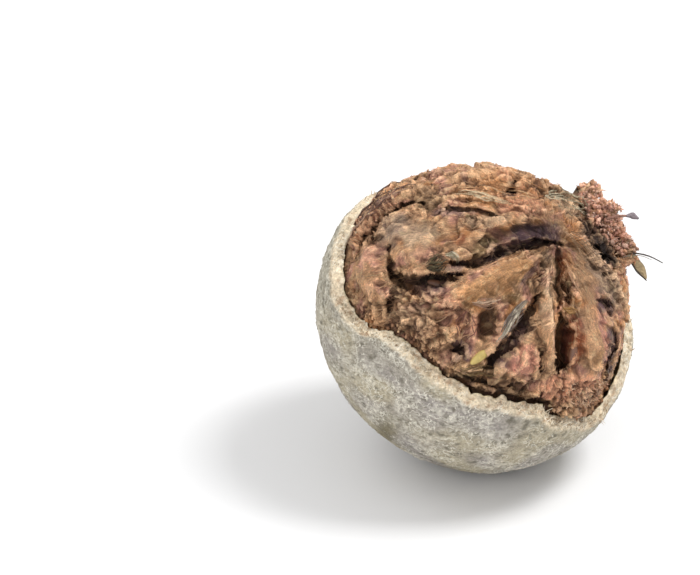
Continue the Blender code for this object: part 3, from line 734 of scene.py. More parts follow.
SWELLINGS = (
    ("left lobe", 2.2, (-28.4, 10), 8.0, 4.2, 90, 0.4),
    ("upper left lobe", 2.2, (-15.5, 17), 8.5, 5.0, 10, 0.2),
    ("right lobe", 2.2, (29.6, -7), 12.0, 4.0, 95, 0.3),
    ("lower left lobe", 1.6, (-11.5, -5), 9.0, 7.0, -40, 0.2),
    ("small lump at the left", 1.3, (-19.2, -2.6), 2.8, 2.4, 0, 0.2),
    ("lump low on the right", 1.4, (28, -20.5), 4.0, 3.2, 30, 0.2),
    ("lump left of the seed cavity", 1.3, (12, -12.5), 5.0, 3.5, -60, 0.2),
)
FAR_GROOVES = ((24, 2.6), (52, 3.6), (80, 2.8), (108, 3.6), (134, 2.4))
FAR_GROOVE_HALF = 2.4 * MM


def along_path(points, path):
    """Each point's distance to a path of straight runs, the share of the path where it is nearest, and if it
    is to the path's left."""
    shape = points.shape[:-1]
    points = points.reshape(-1, 3)
    best, share, left = np.full(len(points), np.inf), np.zeros(len(points)), np.zeros(len(points), bool)
    runs = np.diff(path, axis=0)
    lengths = np.linalg.norm(runs, axis=1)
    starts = np.concatenate([[0.0], np.cumsum(lengths)[:-1]])
    for corner, run, length, start in zip(path[:-1], runs, lengths, starts):
        t = np.clip((points - corner) @ run / length**2, 0, 1)
        distance = np.linalg.norm(points - corner - t[:, None] * run, axis=1)
        nearer = distance < best
        share = np.where(nearer, (start + t * length) / lengths.sum(), share)
        aside = run[0] * (points[:, 1] - corner[1]) - run[1] * (points[:, 0] - corner[0])
        left = np.where(nearer, aside > 0, left)
        best = np.minimum(distance, best)
    return best.reshape(shape), share.reshape(shape), left.reshape(shape)


def path_height(points, features):
    """The highest of several features that follow a path and taper to a point at both of its ends."""
    height = np.zeros(points.shape[:-1])
    for _, rise, half_width, flat, path in features:
        distance, share, left = along_path(points, on_fruit(path))
        half = np.where(left, *np.broadcast_to(half_width, 2)) * MM
        half = half * np.sqrt(np.sin(np.pi * np.clip(share, 0.02, 0.98)))
        height = np.maximum(height, rise * MM * (1 - smooth_step(flat, 1.0, distance / half)))
    return height


def oval_share(points, middle, half_length, half_width, lean, flat):
    """1 in the middle of an oval on the face, 0 outside it, and 0 on the fruit's far side."""
    lean = math.radians(lean)
    u, v = points[..., 0] / MM - middle[0], points[..., 1] / MM - middle[1]
    along = (u * math.cos(lean) + v * math.sin(lean)) / half_length
    across = (v * math.cos(lean) - u * math.sin(lean)) / half_width
    share = 1 - smooth_step(flat, 1.0, np.hypot(along, across))
    return np.where(points[..., 2] > 0, share, 0)


def spot_height(points, features):
    """The highest of several oval features, each flat in the middle and falling to nothing at its edge."""
    height = np.zeros(points.shape[:-1])
    for _, rise, *oval in features:
        height = np.maximum(height, rise * MM * oval_share(points, *oval))
    return height


# %% [markdown]
# ### From big forms to a torn surface
#
# The shape is made in two steps. First the big forms give each point of the grid its distance from the
# fruit's middle. Then that surface's own normals are worked out, and finer relief is added along them. Steep
# cleft walls get the same grain as the open faces that way, where a single step would leave them streaked.
#
# Strings need a noise that is stretched along their run. Reading slope noise at (cosine and sine of the
# angle round the axis, times a large number, and the polar angle times a small one) does that: it changes
# quickly from one string to the next and slowly along each of them.

# %% The pulp's big shape
PULP_SEGMENTS, OPEN_RINGS, SEATED_RINGS = 470, 184, 18
SINK = 2.3 * MM
SINK_SLOPE = (-1.9 * MM, -0.4 * MM)
RIM_GAP = (
    (-180, 0.5), (-150, 0.5), (-128, 0.8), (-108, 2.6), (-70, 3.0), (-45, 1.4), (-25, 0.6), (0, 0.6),
    (22, 0.0), (140, 0.0), (165, 0.4),
)
STAND_AWAY = ((-62, 0.0), (-42, 2.6), (-30, 5.2), (-8, 5.2), (0, 3.2), (9, 1.0), (18, 0.0))
STAND_AWAY_REACH = 24 * MM
# How far below the rim the open rings go, the depths w between which straight cuts fade out, and where the
# far grooves begin
BELOW_RIM = math.radians(7)
CUT_FADE = (6 * MM, 18 * MM)
FAR_SIDE = 15 * MM


def pulp_big_shape():
    """(points, facts): the torn ball before its fine relief, and what is known about each point."""
    around = np.linspace(-math.pi, math.pi, PULP_SEGMENTS, endpoint=False)[None]
    rim = rim_polar(around)
    out = np.linspace(0, 1, OPEN_RINGS + 1)[1:, None]
    open_polar = out * (rim + BELOW_RIM)
    under = np.linspace(0, 1, SEATED_RINGS + 2)[1:-1, None]
    seated_polar = open_polar[-1][None] + under * (math.pi - open_polar[-1][None])
    polar = np.concatenate([open_polar, seated_polar])
    around = np.broadcast_to(around, polar.shape)
    towards = directions(polar, around)
    outline = fruit_radius(towards)
    points = towards * outline[..., None]
    warped = points + 0.75 * MM * noise_vectors(points / (3.2 * MM))
    warped = warped + 0.18 * MM * noise_vectors(points / (1.2 * MM), 5)

    raised = path_height(warped, RIDGES) + spot_height(warped, SWELLINGS)
    cut = np.maximum(path_height(warped, CLEFTS), spot_height(warped, HOLLOWS))
    cut = cut * smooth_step(*CUT_FADE, points[..., 2])
    sunk = np.zeros(polar.shape)
    for angle, depth in FAR_GROOVES:
        wobble = around + 0.16 * slope_noise(points / (7.0 * MM) + angle)
        away = np.abs(np.angle(np.exp(1j * (wobble - math.radians(angle))))) * np.sin(polar) * DEEP_HALF
        groove = 1 - smooth_step(0.1, 1.0, away / FAR_GROOVE_HALF)
        groove = groove * smooth_step(0.35, 0.7, polar) * (points[..., 2] < FAR_SIDE)
        sunk = np.maximum(sunk, depth * MM * groove)
    rolling = 0.95 * slope_noise(points / (4.6 * MM)) + 0.18 * slope_noise(points / (2.4 * MM) + 20)

    over_scar = np.exp(-(((math.pi - polar) * DEEP_HALF / (7.5 * MM)) ** 2))
    seated = outline - WALL - PULP_GAP - 1.7 * MM * over_scar
    sink = SINK + towards[..., 0] * SINK_SLOPE[0] + towards[..., 1] * SINK_SLOPE[1]
    past_rim = (rim - polar) * DEEP_HALF
    open_share = smooth_step(0.3 * MM, 3.4 * MM, past_rim)
    away = np.interp(np.degrees(around), *np.array(STAND_AWAY).T) * MM
    away = away * (1 - smooth_step(0, STAND_AWAY_REACH, past_rim))
    torn = outline - sink + raised - sunk - away + rolling * MM
    gap_depth = np.interp(np.degrees(around), *np.array(RIM_GAP, float).T, period=360) * MM
    inner_side = 1 - smooth_step(1.2 * MM, 3.6 * MM + 1.1 * gap_depth, past_rim)
    gap = gap_depth * smooth_step(-5 * MM, -1 * MM, past_rim) * inner_side
    radius = seated + open_share * (torn - seated) - gap
    facts = {
        "polar": polar, "around": around, "points": points, "sunk": (sunk + cut) / MM, "gap": gap / MM,
        "open": open_share, "near_rim": smooth_step(-6 * MM, -1 * MM, past_rim), "past_rim": past_rim / MM,
    }
    return towards * radius[..., None] - (open_share * cut)[..., None] * np.array([0, 0, 1.0]), facts


# %% The pulp's fine relief
def grid_normals(places):
    """Outward normals of a ring grid: the step out from the pole crossed with the step round it."""
    out = np.gradient(places, axis=0)
    round_it = np.roll(places, -1, axis=1) - np.roll(places, 1, axis=1)
    return unit(np.cross(out, round_it))


def cavity(places, reach):
    """How far the mean of the four neighbours some steps away lies above each point, in mm: above 0 in
    hollows, below 0 on ridges."""
    padded = np.pad(places, ((reach, reach), (0, 0), (0, 0)), mode="edge")
    mean = (padded[2 * reach :] + padded[: -2 * reach]) / 4
    mean = mean + (np.roll(places, reach, axis=1) + np.roll(places, -reach, axis=1)) / 4
    return ((mean - places) * grid_normals(places)).sum(axis=-1) / MM


def string_noise(points, polar, around, count, stretch):
    """Ridged slope noise in fan coordinates, 0 to 1: wandering strings about 1 / count radians wide."""
    wander = around + 0.12 * slope_noise(points / (6.0 * MM) + 15)
    fan = np.stack([np.cos(wander) * count, np.sin(wander) * count, polar * stretch], axis=-1)
    return 1 - smooth_step(0.0, 0.55, np.abs(slope_noise(fan)))


def layer_noise(points):
    """Ridged slope noise on the face, 0 to 1, stretched along u: the layers that lie across the top."""
    wander = points / MM + 1.6 * noise_vectors(points / (6.0 * MM), 90)
    return 1 - smooth_step(0.0, 0.5, np.abs(slope_noise(wander / np.array([8.0, 1.35, 3.0]))))


def terraces(heights):
    """Heights turned into steps one unit apart, minus the smooth heights: flakes with a crisp edge."""
    whole = np.floor(heights)
    return whole + smooth_step(0.42, 0.58, heights - whole) - heights


LINING = ((-25, 25), 15, 5.5, 47, 0.6)
CRUMBLY_OVALS = (
    ((-15, -4), 13, 9, -35, 0.4), ((26, -20), 10, 6, 15, 0.4), ((-29, 2), 6, 4, 80, 0.4),
    ((33, 23), 14, 6, -52, 0.7),
)
SHAGGY_OVALS = (((30, 17), 16, 5, -50, 0.5), ((33, 24), 12, 8, -55, 0.6), ((24, 27), 7, 5, -40, 0.5))
SMOOTH_LOBES = (
    ((5, 9), 16, 5, 27, 0.5), ((18.5, 0), 15, 4, 90, 0.5), ((29, 0), 15, 5, 100, 0.5),
    ((-28.4, 9), 10, 4.5, 90, 0.5), ((-14, 18), 8, 5, 10, 0.5), ((12, 21), 12, 4, 8, 0.6),
    ((2, -1), 6, 4, 80, 0.5),
)


def any_oval(points, ovals):
    """The largest share of several ovals at each point."""
    return np.maximum.reduce([oval_share(points, *oval) for oval in ovals])


def add_fine_relief(places, facts):
    """Strings, layers, clumps and crumbs along the normals, and sideways moves that make edges overhang."""
    normals = grid_normals(places)
    polar, around = facts["polar"], facts["around"]
    crumbly = smooth_step(0.05, 0.5, slope_noise(places / (9.0 * MM) + 3))
    crumbly = np.maximum(crumbly, any_oval(places, CRUMBLY_OVALS))
    lining = oval_share(places, *LINING)
    shaggy = smooth_step(-0.1, 0.4, slope_noise(places / (8.0 * MM) + 47))
    shaggy = np.maximum(shaggy, any_oval(places, (*SHAGGY_OVALS, LINING)))
    fleshy = any_oval(places, SMOOTH_LOBES)
    crumbly, shaggy = crumbly * (1 - 0.92 * fleshy), shaggy * (1 - 0.92 * fleshy)
    on_top = smooth_step(22 * MM, 29 * MM, places[..., 1]) * (places[..., 2] > 0)

    strings = string_noise(places, polar, around, 15, 4.0)
    fine_strings = string_noise(places, polar, around, 36, 6.0)
    layers = layer_noise(places)
    strings = strings + on_top * (layers - strings)
    by_rim = np.stack([facts["past_rim"] / 1.5, around * 7.0, 0 * around], axis=-1)
    strings = strings + lining * (1 - smooth_step(0.0, 0.45, np.abs(slope_noise(by_rim))) - strings)
    rise, crease, number = clump_noise(places / (3.1 * MM) + 0.25 * noise_vectors(places / (1.6 * MM)))
    shaken = places / (1.25 * MM) + 9 + 0.3 * noise_vectors(places / (0.7 * MM))
    crumb_rise, crumb_crease, _ = clump_noise(shaken)
    grain = slope_noise(places / (0.75 * MM)) + 0.6 * slope_noise(places / (0.42 * MM) + 4)
    shred = slope_noise(places / (1.6 * MM) + 71)
    heights = 1.8 * slope_noise(places / (8.0 * MM) + 33) + 0.2 * slope_noise(places / (2.6 * MM) + 37)
    relief = (0.14 + 0.3 * shaggy + 0.5 * lining) * (strings - 0.4)
    relief += (0.12 + 0.14 * shaggy) * (fine_strings - 0.4)
    relief += (0.11 - 0.08 * fleshy + 0.3 * shaggy) * shred + (0.9 - 0.35 * fleshy) * terraces(heights)
    relief += (0.09 - 0.06 * fleshy + 0.1 * np.maximum(crumbly, shaggy)) * grain
    relief += crumbly * (0.5 * (rise - 0.6) + 0.5 * (crease - 0.85) + 0.24 * (crumb_rise - 0.6))
    relief += 0.14 * (crumb_crease - 0.8) * crumbly
    share = 0.35 * facts["near_rim"] + 0.65 * facts["open"]
    rough = np.maximum(crumbly, shaggy)[..., None]
    push = 0.6 * noise_vectors(places / (3.6 * MM), 11) + 0.3 * rough * noise_vectors(places / (1.1 * MM), 23)
    push -= (push * normals).sum(axis=-1, keepdims=True) * normals
    moved = places + (relief[..., None] * normals + push * facts["open"][..., None]) * MM * share[..., None]
    creased = crumbly * (1 - np.minimum(crease, 0.45 + 0.55 * crumb_crease))
    facts.update(strings=0.55 * strings + 0.45 * fine_strings, number=number, crumbly=crumbly, relief=relief,
                 fleshy=fleshy, shaggy=shaggy, crease=1 - creased)
    facts["cavity"] = [cavity(moved, reach) for reach in (2, 5, 13)]
    return moved


pulp_smooth, pulp_facts = pulp_big_shape()
pulp_places = add_fine_relief(pulp_smooth, pulp_facts)
print("pulp grid", pulp_places.shape[:2], "fine relief in mm:", pulp_facts["relief"].min().round(2),
      "to", pulp_facts["relief"].max().round(2))

# %% [markdown]
# ### The pulp's colours
#
# Wood apple pulp is tan to orange-brown, pinkish where it is bruised, and purple-black in the clefts where
# air has reached it. The ground is a mottle of four browns. Over it go soft stains, listed: the colour, how
# strong it is, and an oval on the face; a few of those ovals are painted shade in holes, hollows and along
# the front rim. Painted shade then darkens the depths, creases, hollows and the gap by the rim once more, and
# a painted highlight lightens the ridges.

# %% Paint the pulp
TAN, ORANGE, PINK, GREY = colour("BE9672"), colour("BC8455"), colour("BE8C7A"), colour("A08A78")
BROWN, DARK, STRAW = colour("7C573F"), colour("26160F"), colour("DCC79C")
OLIVE, RUST, RIDGE_HIGHLIGHT_CREAM, SAND = colour("7A6644"), colour("8C4C2C"), colour("E2BE98"), colour("CDB092")
UMBER, SWARTHY, BLACKISH, MAROON = colour("5A3A24"), colour("5C4C34"), colour("42292C"), colour("7A4034")
PLUM, MAUVE, ROSE, SALMON = colour("6A5058"), colour("A2827E"), colour("CC8E7C"), colour("DDA080")
OCHRE, OCHREBROWN = colour("BE9064"), colour("8A5C3A")
STAINS_AND_PAINTED_SHADE = (
    (GREY, 0.9, (-22.5, 22.5), 6.5, 5.5, 50), (SAND, 0.9, (-15, 20.5), 6, 5, 10),
    (PINK, 0.6, (-12, 14.8), 7, 2.2, 8), (TAN, 0.8, (-15.5, 11.5), 5.5, 2.5, 0),
    (PINK, 0.75, (-28.5, 15.5), 4.5, 3.8, 90), (TAN, 0.9, (-28.3, 7), 5.5, 4, 90),
    (UMBER, 0.95, (-23.3, 13.5), 4.2, 0.9, 92), (SWARTHY, 0.85, (-20.5, 6.8), 4.0, 2.6, -40),
    (SWARTHY, 0.7, (-22, 2), 3.6, 2.6, 60), (ORANGE, 0.75, (0, 24), 9, 4, 5),
    (RUST, 0.7, (-4.5, 19.5), 3.2, 2.4, -30), (BROWN, 0.3, (15, 25), 7, 2.2, -3),
    (OLIVE, 0.9, (2.5, 17.5), 5.5, 3.0, 20), (PLUM, 1.0, (14.6, 20.4), 9.0, 4.0, 2),
    (PLUM, 0.85, (4, 15.5), 7, 2.6, 22), (PLUM, 0.9, (-4.5, 12.8), 4, 1.8, 20),
    (BLACKISH, 0.9, (10, 17.2), 12, 1.2, 14), (PLUM, 1.0, (-12, 7.8), 5.5, 3.8, 0),
    (BLACKISH, 1.0, (-12, 9.0), 6.5, 2.2, 4), (RUST, 0.7, (-4, 10.5), 3.5, 1.2, 15),
    (OCHRE, 0.95, (6, 9.5), 12, 4.4, 28), (OCHRE, 0.8, (-2, 4.6), 7, 2.6, 28),
    (ROSE, 0.75, (-7, 2.5), 4.5, 3.2, 20), (MAUVE, 0.75, (12.8, 9.6), 4.5, 1.8, 62),
    (OLIVE, 0.6, (9, 4.5), 3, 2, 0), (BROWN, 0.5, (-15, -4), 12, 9, -35), (SAND, 0.45, (-16, -1), 7, 4, -35),
    (ROSE, 0.4, (-3.5, -1), 3, 4, 0), (BROWN, 0.5, (3, -2), 6, 3.6, 80), (ROSE, 0.6, (0, -3), 5, 1.6, 84),
    (TAN, 0.6, (4.5, -3), 4.5, 1.2, 82), (PLUM, 0.9, (11, -4.5), 6, 3.0, 56),
    (PLUM, 0.95, (6.4, -10.5), 5, 3.4, 55), (BLACKISH, 0.85, (5.8, -10.5), 5.5, 1.8, 56),
    (PLUM, 0.95, (-3.5, -9), 3.6, 3.2, 0), (OLIVE, 0.7, (1, -14.2), 7.5, 1.6, 0),
    # Painted shade: both ovals on the next line are the shadow along the front rim
    (SWARTHY, 0.9, (0, -17.5), 8.5, 2.2, -12), (UMBER, 0.8, (9, -19), 8, 2.6, -8),
    (SAND, 0.6, (17.6, 12.5), 4.5, 2.0, 88), (SAND, 0.7, (17.8, 2), 9, 2.2, 90),
    (TAN, 0.9, (18.0, -9), 8, 2.6, 92), (ROSE, 0.85, (12.5, -12), 6, 4.2, 55),
    (RUST, 0.85, (22, 11), 8, 1.8, 92), (OCHREBROWN, 0.95, (23, 5.5), 5.5, 2.2, 95),
    (OCHRE, 0.8, (23.3, 1.0), 3.0, 1.2, 0), (RUST, 1.0, (24.2, -6.5), 9.0, 4.6, 90),
    (MAROON, 0.7, (22.4, -7.5), 7.5, 2.6, 90), (ORANGE, 0.8, (21.4, -8), 8, 1.4, 92),
    (SWARTHY, 0.7, (22.5, -12.8), 2.2, 2, 0), (TAN, 0.9, (27, 9), 7.5, 3.6, -70),
    (SALMON, 0.5, (30.5, -1), 5, 2.4, 95), (TAN, 0.9, (28.6, -4), 11, 2.6, 94),
    (ROSE, 0.95, (32, -6), 10, 2.2, 96), (OCHRE, 0.7, (29, -9.5), 3, 1.8, 80),
    (GREY, 0.85, (32, 9.5), 11, 2.8, -60), (PLUM, 0.95, (33.4, 2.6), 3.2, 2.2, -25),
    (PLUM, 0.9, (34.8, -9), 12, 1.3, 94), (ROSE, 0.95, (35, 25), 12, 6.5, -55),
    # Painted shade: both ovals on the next line darken the hollow above the hole beside the skin rope, and
    # that hole
    (UMBER * 0.8, 1.0, (29.8, 21.6), 7, 3.0, -54), (BLACKISH * 0.3, 1.0, (32.2, 16.8), 6.4, 3.6, -50),
    (SALMON, 0.95, (36.4, 22), 7, 3.4, -52), (ORANGE, 0.7, (37.4, 15), 4, 2.4, -60),
    (ORANGE, 0.75, (6, 31.5), 17, 5.5, -2), (SALMON, 0.8, (11.5, 28.2), 8, 3.2, -8),
    # Painted shade: the umber oval on the next line darkens the round hole in the top layer
    (SAND, 0.75, (2, 24.6), 9, 2.6, 4), (UMBER, 0.9, (8.5, 32), 2.6, 2.0, 60),
    (UMBER, 0.8, (17.6, 30.2), 2.6, 0.8, 25), (SAND, 0.8, (23, 29), 5.5, 3.0, -35),
    (MAUVE, 0.8, (-6.5, 27), 8, 1.6, 2), (OLIVE, 0.5, (-12, 31), 8, 2.6, 12),
    (MAROON, 0.7, (-27, 25.5), 13, 2.4, 47), (SALMON * 1.1, 1.0, (24, -18.2), 10, 4.4, 8),
    (SALMON * 1.25, 0.8, (27, -17.5), 6, 3, 10), (SAND, 0.6, (28, -21), 5, 3, 20),
    # Painted shade: the umber oval on the next line is shadow under the front rim, low on the right
    (UMBER, 0.6, (20, -24.2), 5, 1.6, 8),
)
# Holes painted with shade down to the bottom, and how far their paint goes towards the darkest brown
SHADE_PAINTED_HOLES = (
    ((32.0, 16.7), 5.8, 3.2, -50, 0.5), ((29.6, 21.8), 6, 2.2, -54, 0.4), ((8.5, 32), 2.4, 1.8, 60, 0.5),
)
SHADE_PAINTED_HOLE_STRENGTHS = (0.92, 0.4, 0.5)
WARMTH = np.array([1.05, 1.0, 0.95])


def pulp_colours(facts):
    points = facts["points"]
    middle = slope_noise(points / (2.2 * MM) + 8)
    fine = slope_noise(points / (0.9 * MM) + 14)
    paint = np.zeros(points.shape) + TAN
    paint = blend_towards(paint, ORANGE, smooth_step(-0.1, 0.6, slope_noise(points / (5.5 * MM) + 2)))
    paint = blend_towards(paint, PINK, smooth_step(0.0, 0.5, slope_noise(points / (4.0 * MM) + 44)))
    paint = blend_towards(paint, BROWN, smooth_step(0.1, 0.6, middle) * 0.6)
    wobble = points + 1.2 * MM * noise_vectors(points / (2.6 * MM), 60)
    # Stains of the pulp's own colour, and the ovals of painted shade marked in the table
    for stain_and_shade_colour, strength, middle_at, half_length, half_width, lean in STAINS_AND_PAINTED_SHADE:
        share = oval_share(wobble, middle_at, half_length, half_width, lean, 0.5)
        paint = blend_towards(paint, stain_and_shade_colour, share * strength * (0.95 + 0.3 * middle))
    # Painted shade in the creases between the clumps
    paint = blend_towards(paint, BROWN * 0.7, 0.7 * (1 - facts["crease"]))
    pale = smooth_step(0.6, 1.0, facts["strings"]) * smooth_step(0.0, 0.35, fine)
    paint = blend_towards(paint, STRAW, 0.5 * pale)
    # Painted shade: darker with the depth of the cuts and grooves, and near black in the gap along the rind
    paint = blend_towards(paint, paint * 0.7, smooth_step(1.0, 3.5, facts["sunk"]) * 0.7)
    paint = blend_towards(paint, DARK, smooth_step(0.8, 2.8, facts["gap"]) * 0.6)
    # Painted light and shade from the relief: darker in hollows and lighter on ridges, at three sizes
    near, mid, far = (np.tanh(-value / scale) for value, scale in zip(facts["cavity"], (0.15, 0.5, 2.0)))
    near = near * (1 - 0.5 * facts["fleshy"])
    light = 0.86 + 0.13 * near + 0.17 * mid + 0.22 * far
    # Painted highlight in cream on the ridges, and painted shade in umber in the hollows
    paint = blend_towards(paint, RIDGE_HIGHLIGHT_CREAM, 0.45 * smooth_step(0.4, 1.0, 0.5 * near + 0.5 * mid))
    paint = blend_towards(paint, UMBER, 0.45 * smooth_step(0.4, 1.0, -0.5 * near - 0.5 * mid))
    # Painted shade: the holes are painted near black
    for hole, strength in zip(SHADE_PAINTED_HOLES, SHADE_PAINTED_HOLE_STRENGTHS):
        paint = blend_towards(paint, DARK, strength * oval_share(wobble, *hole))
    # Darker pulp just inside the rim: partly painted shade from the rim, partly browning of the torn edge
    by_rim = 1 - smooth_step(0.2, 2.0, facts["past_rim"])
    paint = blend_towards(paint, UMBER * 0.6, 0.6 * by_rim)
    # The painted light and shade, and a random tone for each clump, scale the paint
    return paint * (light * (0.92 + 0.16 * facts["number"]))[..., None] * WARMTH


def flesh_material():
    material, nodes, links, shader = new_material("moist pulp")
    where = nodes.new("ShaderNodeTexCoord").outputs["Object"]
    fan = attribute_node(nodes, "fan").outputs["Vector"]
    paint = attribute_node(nodes, "paint").outputs["Color"]
    broad = place_group(nodes, links, MOTTLE, where, Color=paint, Scale=650.0, Amount=0.34)
    fibres = place_group(nodes, links, MOTTLE, fan, Color=broad.outputs["Color"], Scale=1.0, Amount=0.42)
    fine = place_group(nodes, links, MOTTLE, where, Color=fibres.outputs["Color"], Scale=2400.0, Amount=0.45)
    links.new(fine.outputs["Color"], shader.inputs["Base Color"])
    grain = place_group(nodes, links, GRAIN, where, Scale=1700.0, Depth=0.0003)
    height = math_node(nodes, links, "MULTIPLY_ADD", fibres.outputs["Value"], 0.45, grain.outputs["Value"])
    bump = nodes.new("ShaderNodeBump")
    bump.inputs["Distance"].default_value = 0.0007
    links.new(height, bump.inputs["Height"])
    links.new(bump.outputs["Normal"], shader.inputs["Normal"])
    links.new(ramp_between(nodes, links, broad.outputs["Value"], -0.9, 1.6), shader.inputs["Roughness"])
    shader.inputs["Specular IOR Level"].default_value = 0.35
    return material


FLESH = flesh_material()


# How quickly the fibres' mottle changes across their run, twice, and along it
FAN_SCALES = (105, 105, 12)


def make_pulp(places, facts):
    paint = pulp_colours(facts)
    facts["paint"] = paint
    hub, foot = places[0].mean(axis=0), places[-1].mean(axis=0)
    piece = ball_piece("pulp_flesh", face_to_world(hub), face_to_world(places), face_to_world(foot), FLESH)
    store_colours(piece, "paint", with_poles(paint))
    wander = facts["around"] + 0.03 * slope_noise(places / (5.0 * MM) + 15)
    fan = np.stack([np.cos(wander), np.sin(wander), facts["polar"]], axis=-1) * FAN_SCALES
    store_vectors(piece, "fan", with_poles(fan))
    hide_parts("pulp")


make_pulp(pulp_places, pulp_facts)

# %% [markdown]
# ## Strings, shreds and crumbs
#
# What makes the pulp look torn is what stands off it: hundreds of fine strings, thin flat shreds, and crumbs
# in the hollows. Each string or shred is a tube along a path. Its section is an ellipse, round for a string
# and flat for a shred, and it shrinks to a point at both ends. All the tubes of one kind are worked out at
# once as one array of (count, steps, sides), and they become one mesh.

# %% Tubes along paths
def tube_piece(name, paths, normals, half_widths, half_heights, sides, paint, material=FLESH):
    """Closed tubes: at each step the section is (cosine x half width) across plus (sine x half height) up.
    The paint is one colour for each tube, or one for each of its steps."""
    count, steps = paths.shape[:2]
    along = unit(np.gradient(paths, axis=1))
    across = unit(np.cross(along, normals))
    up = np.cross(across, along)
    angle = np.linspace(0, 2 * math.pi, sides, endpoint=False)
    sections = (
        paths[:, :, None]
        + across[:, :, None] * (half_widths[..., None] * np.cos(angle))[..., None]
        + up[:, :, None] * (half_heights[..., None] * np.sin(angle))[..., None]
    )
    index = np.arange(count * steps * sides).reshape(count, steps, sides)
    after = np.roll(index, -1, axis=2)
    quads = np.stack([index[:, :-1], index[:, 1:], after[:, 1:], after[:, :-1]], axis=-1).reshape(-1, 4)
    caps = np.concatenate([index[:, 0], index[:, -1, ::-1]]).reshape(-1, sides)
    corners = np.concatenate([quads.ravel(), caps.ravel()])
    sizes = np.concatenate([np.full(len(quads), 4), np.full(len(caps), sides)])
    piece = array_piece(name, face_to_world(sections.reshape(-1, 3)), corners, sizes, material)
    full = np.broadcast_to(paint[:, :, None] if paint.ndim == 3 else paint[:, None, None], sections.shape)
    store_colours(piece, "paint", np.ascontiguousarray(full).reshape(-1, 3))


def read_grid(grid, ring, segment):
    """A grid's value between its points, blended from the four nearest."""
    ring = np.clip(ring, 0, grid.shape[0] - 1.001)
    low, left = np.floor(ring).astype(int), np.floor(segment).astype(int)
    down, right = (ring - low)[..., None], (segment - left)[..., None]
    columns = grid.shape[1]
    near = grid[low, left % columns] * (1 - right) + grid[low, (left + 1) % columns] * right
    far = grid[low + 1, left % columns] * (1 - right) + grid[low + 1, (left + 1) % columns] * right
    return near * (1 - down) + far * down


pulp_normals = grid_normals(pulp_places)
random = np.random.default_rng(21)
grid_areas = np.linalg.norm(
    np.cross(np.gradient(pulp_smooth, axis=0), np.gradient(pulp_smooth, axis=1)), axis=-1
)
RING_STEP = 0.36 * MM


def scatter(count, weight):
    """Grid places drawn at random, as likely as their area times a weight: (rings, segments)."""
    chance = (grid_areas * weight).ravel()
    picked = random.choice(len(chance), size=count, p=chance / chance.sum())
    return np.divmod(picked, PULP_SEGMENTS)


def pick_colours(codes, count):
    """One of a few colours for each of count pieces, drawn at random."""
    return np.array([colour(code) for code in codes])[random.integers(0, len(codes), count)]


def lying_paths(rings, segments, lengths, turns, waves, steps, lift):
    """Paths over the pulp from given roots: out along the strings' run, turned and waved, and lifted off it
    by lift (count, steps). Gives (paths, normals, paint) at every step."""
    share = np.linspace(0, 1, steps)[None]
    arc = np.maximum(np.sin(pulp_facts["polar"][rings, segments]), 0.15)[:, None] * DEEP_HALF
    segment_step = 2 * math.pi / PULP_SEGMENTS * arc
    out = lengths[:, None] * share
    ring = rings[:, None] + out * np.cos(turns)[:, None] / RING_STEP
    sway = out * np.sin(turns)[:, None] + waves[:, None] * np.sin(2.5 * math.pi * share) * lengths[:, None]
    segment = segments[:, None] + sway / segment_step
    place = read_grid(pulp_places, ring, segment)
    normal = unit(read_grid(pulp_normals, ring, segment))
    paint = read_grid(pulp_facts["paint"], ring, segment)
    return place + lift[..., None] * normal, normal, paint


bare = pulp_facts["open"] * (pulp_facts["past_rim"] > 0)
for dark_hole in SHADE_PAINTED_HOLES:
    bare = bare * (1 - 0.95 * oval_share(pulp_places, *dark_hole))
stringy = bare * (0.04 + 0.96 * pulp_facts["shaggy"])
print("bare pulp, in square cm:", round(float((grid_areas * bare).sum()) / 1e-4, 1))

# %% [markdown]
# ### Fine strings
#
# The strings mostly lie along the pulp and run out from the hub. A few are sprung off it in an arch.

# %% Make the strings
def make_strings(name, count, longest, steps, radius, arch, spread):
    rings, segments = scatter(count, stringy)
    lengths = random.uniform(0.35, 1.0, count) * longest
    turns = random.normal(0, spread, count) + np.where(random.random(count) < 0.12, 1.4, 0.0)
    waves = random.normal(0, 0.03, count)
    share = np.linspace(0, 1, steps)[None]
    height = np.where(random.random(count) < 0.18, 2.4, 0.8) * random.uniform(0.2, 1.0, count) * arch
    lift = height[:, None] * np.sin(math.pi * share) + 0.05 * MM
    paths, normals, paint = lying_paths(rings, segments, lengths, turns, waves, steps, lift)
    taper = np.sqrt(np.clip(np.sin(math.pi * (0.06 + 0.88 * share)), 0, 1))
    thick = radius * random.uniform(0.55, 1.3, count)[:, None] * taper
    mean_paint = paint.mean(axis=1)
    is_straw, is_pink = random.random((count, 1)) < 0.32, random.random((count, 1)) < 0.5
    tint = np.where(is_straw, STRAW, np.where(is_pink, PINK, TAN))
    share_of_tint = random.uniform(0.0, 0.35, (count, 1))
    colours = mean_paint * random.uniform(0.75, 1.4, (count, 1)) * (1 - share_of_tint) + tint * share_of_tint
    tube_piece(name, paths, normals, thick, thick * 0.8, 4, colours)


make_strings("pulp_strings", 560, 7.0 * MM, 8, 0.09 * MM, 0.3 * MM, 0.25)
make_strings("pulp_cords", 70, 10.0 * MM, 10, 0.17 * MM, 0.08 * MM, 0.14)

# %% [markdown]
# ### Shreds
#
# Shreds are torn skins between the strings: thin, a millimetre or so wide, held at one end and curled up at
# the other.

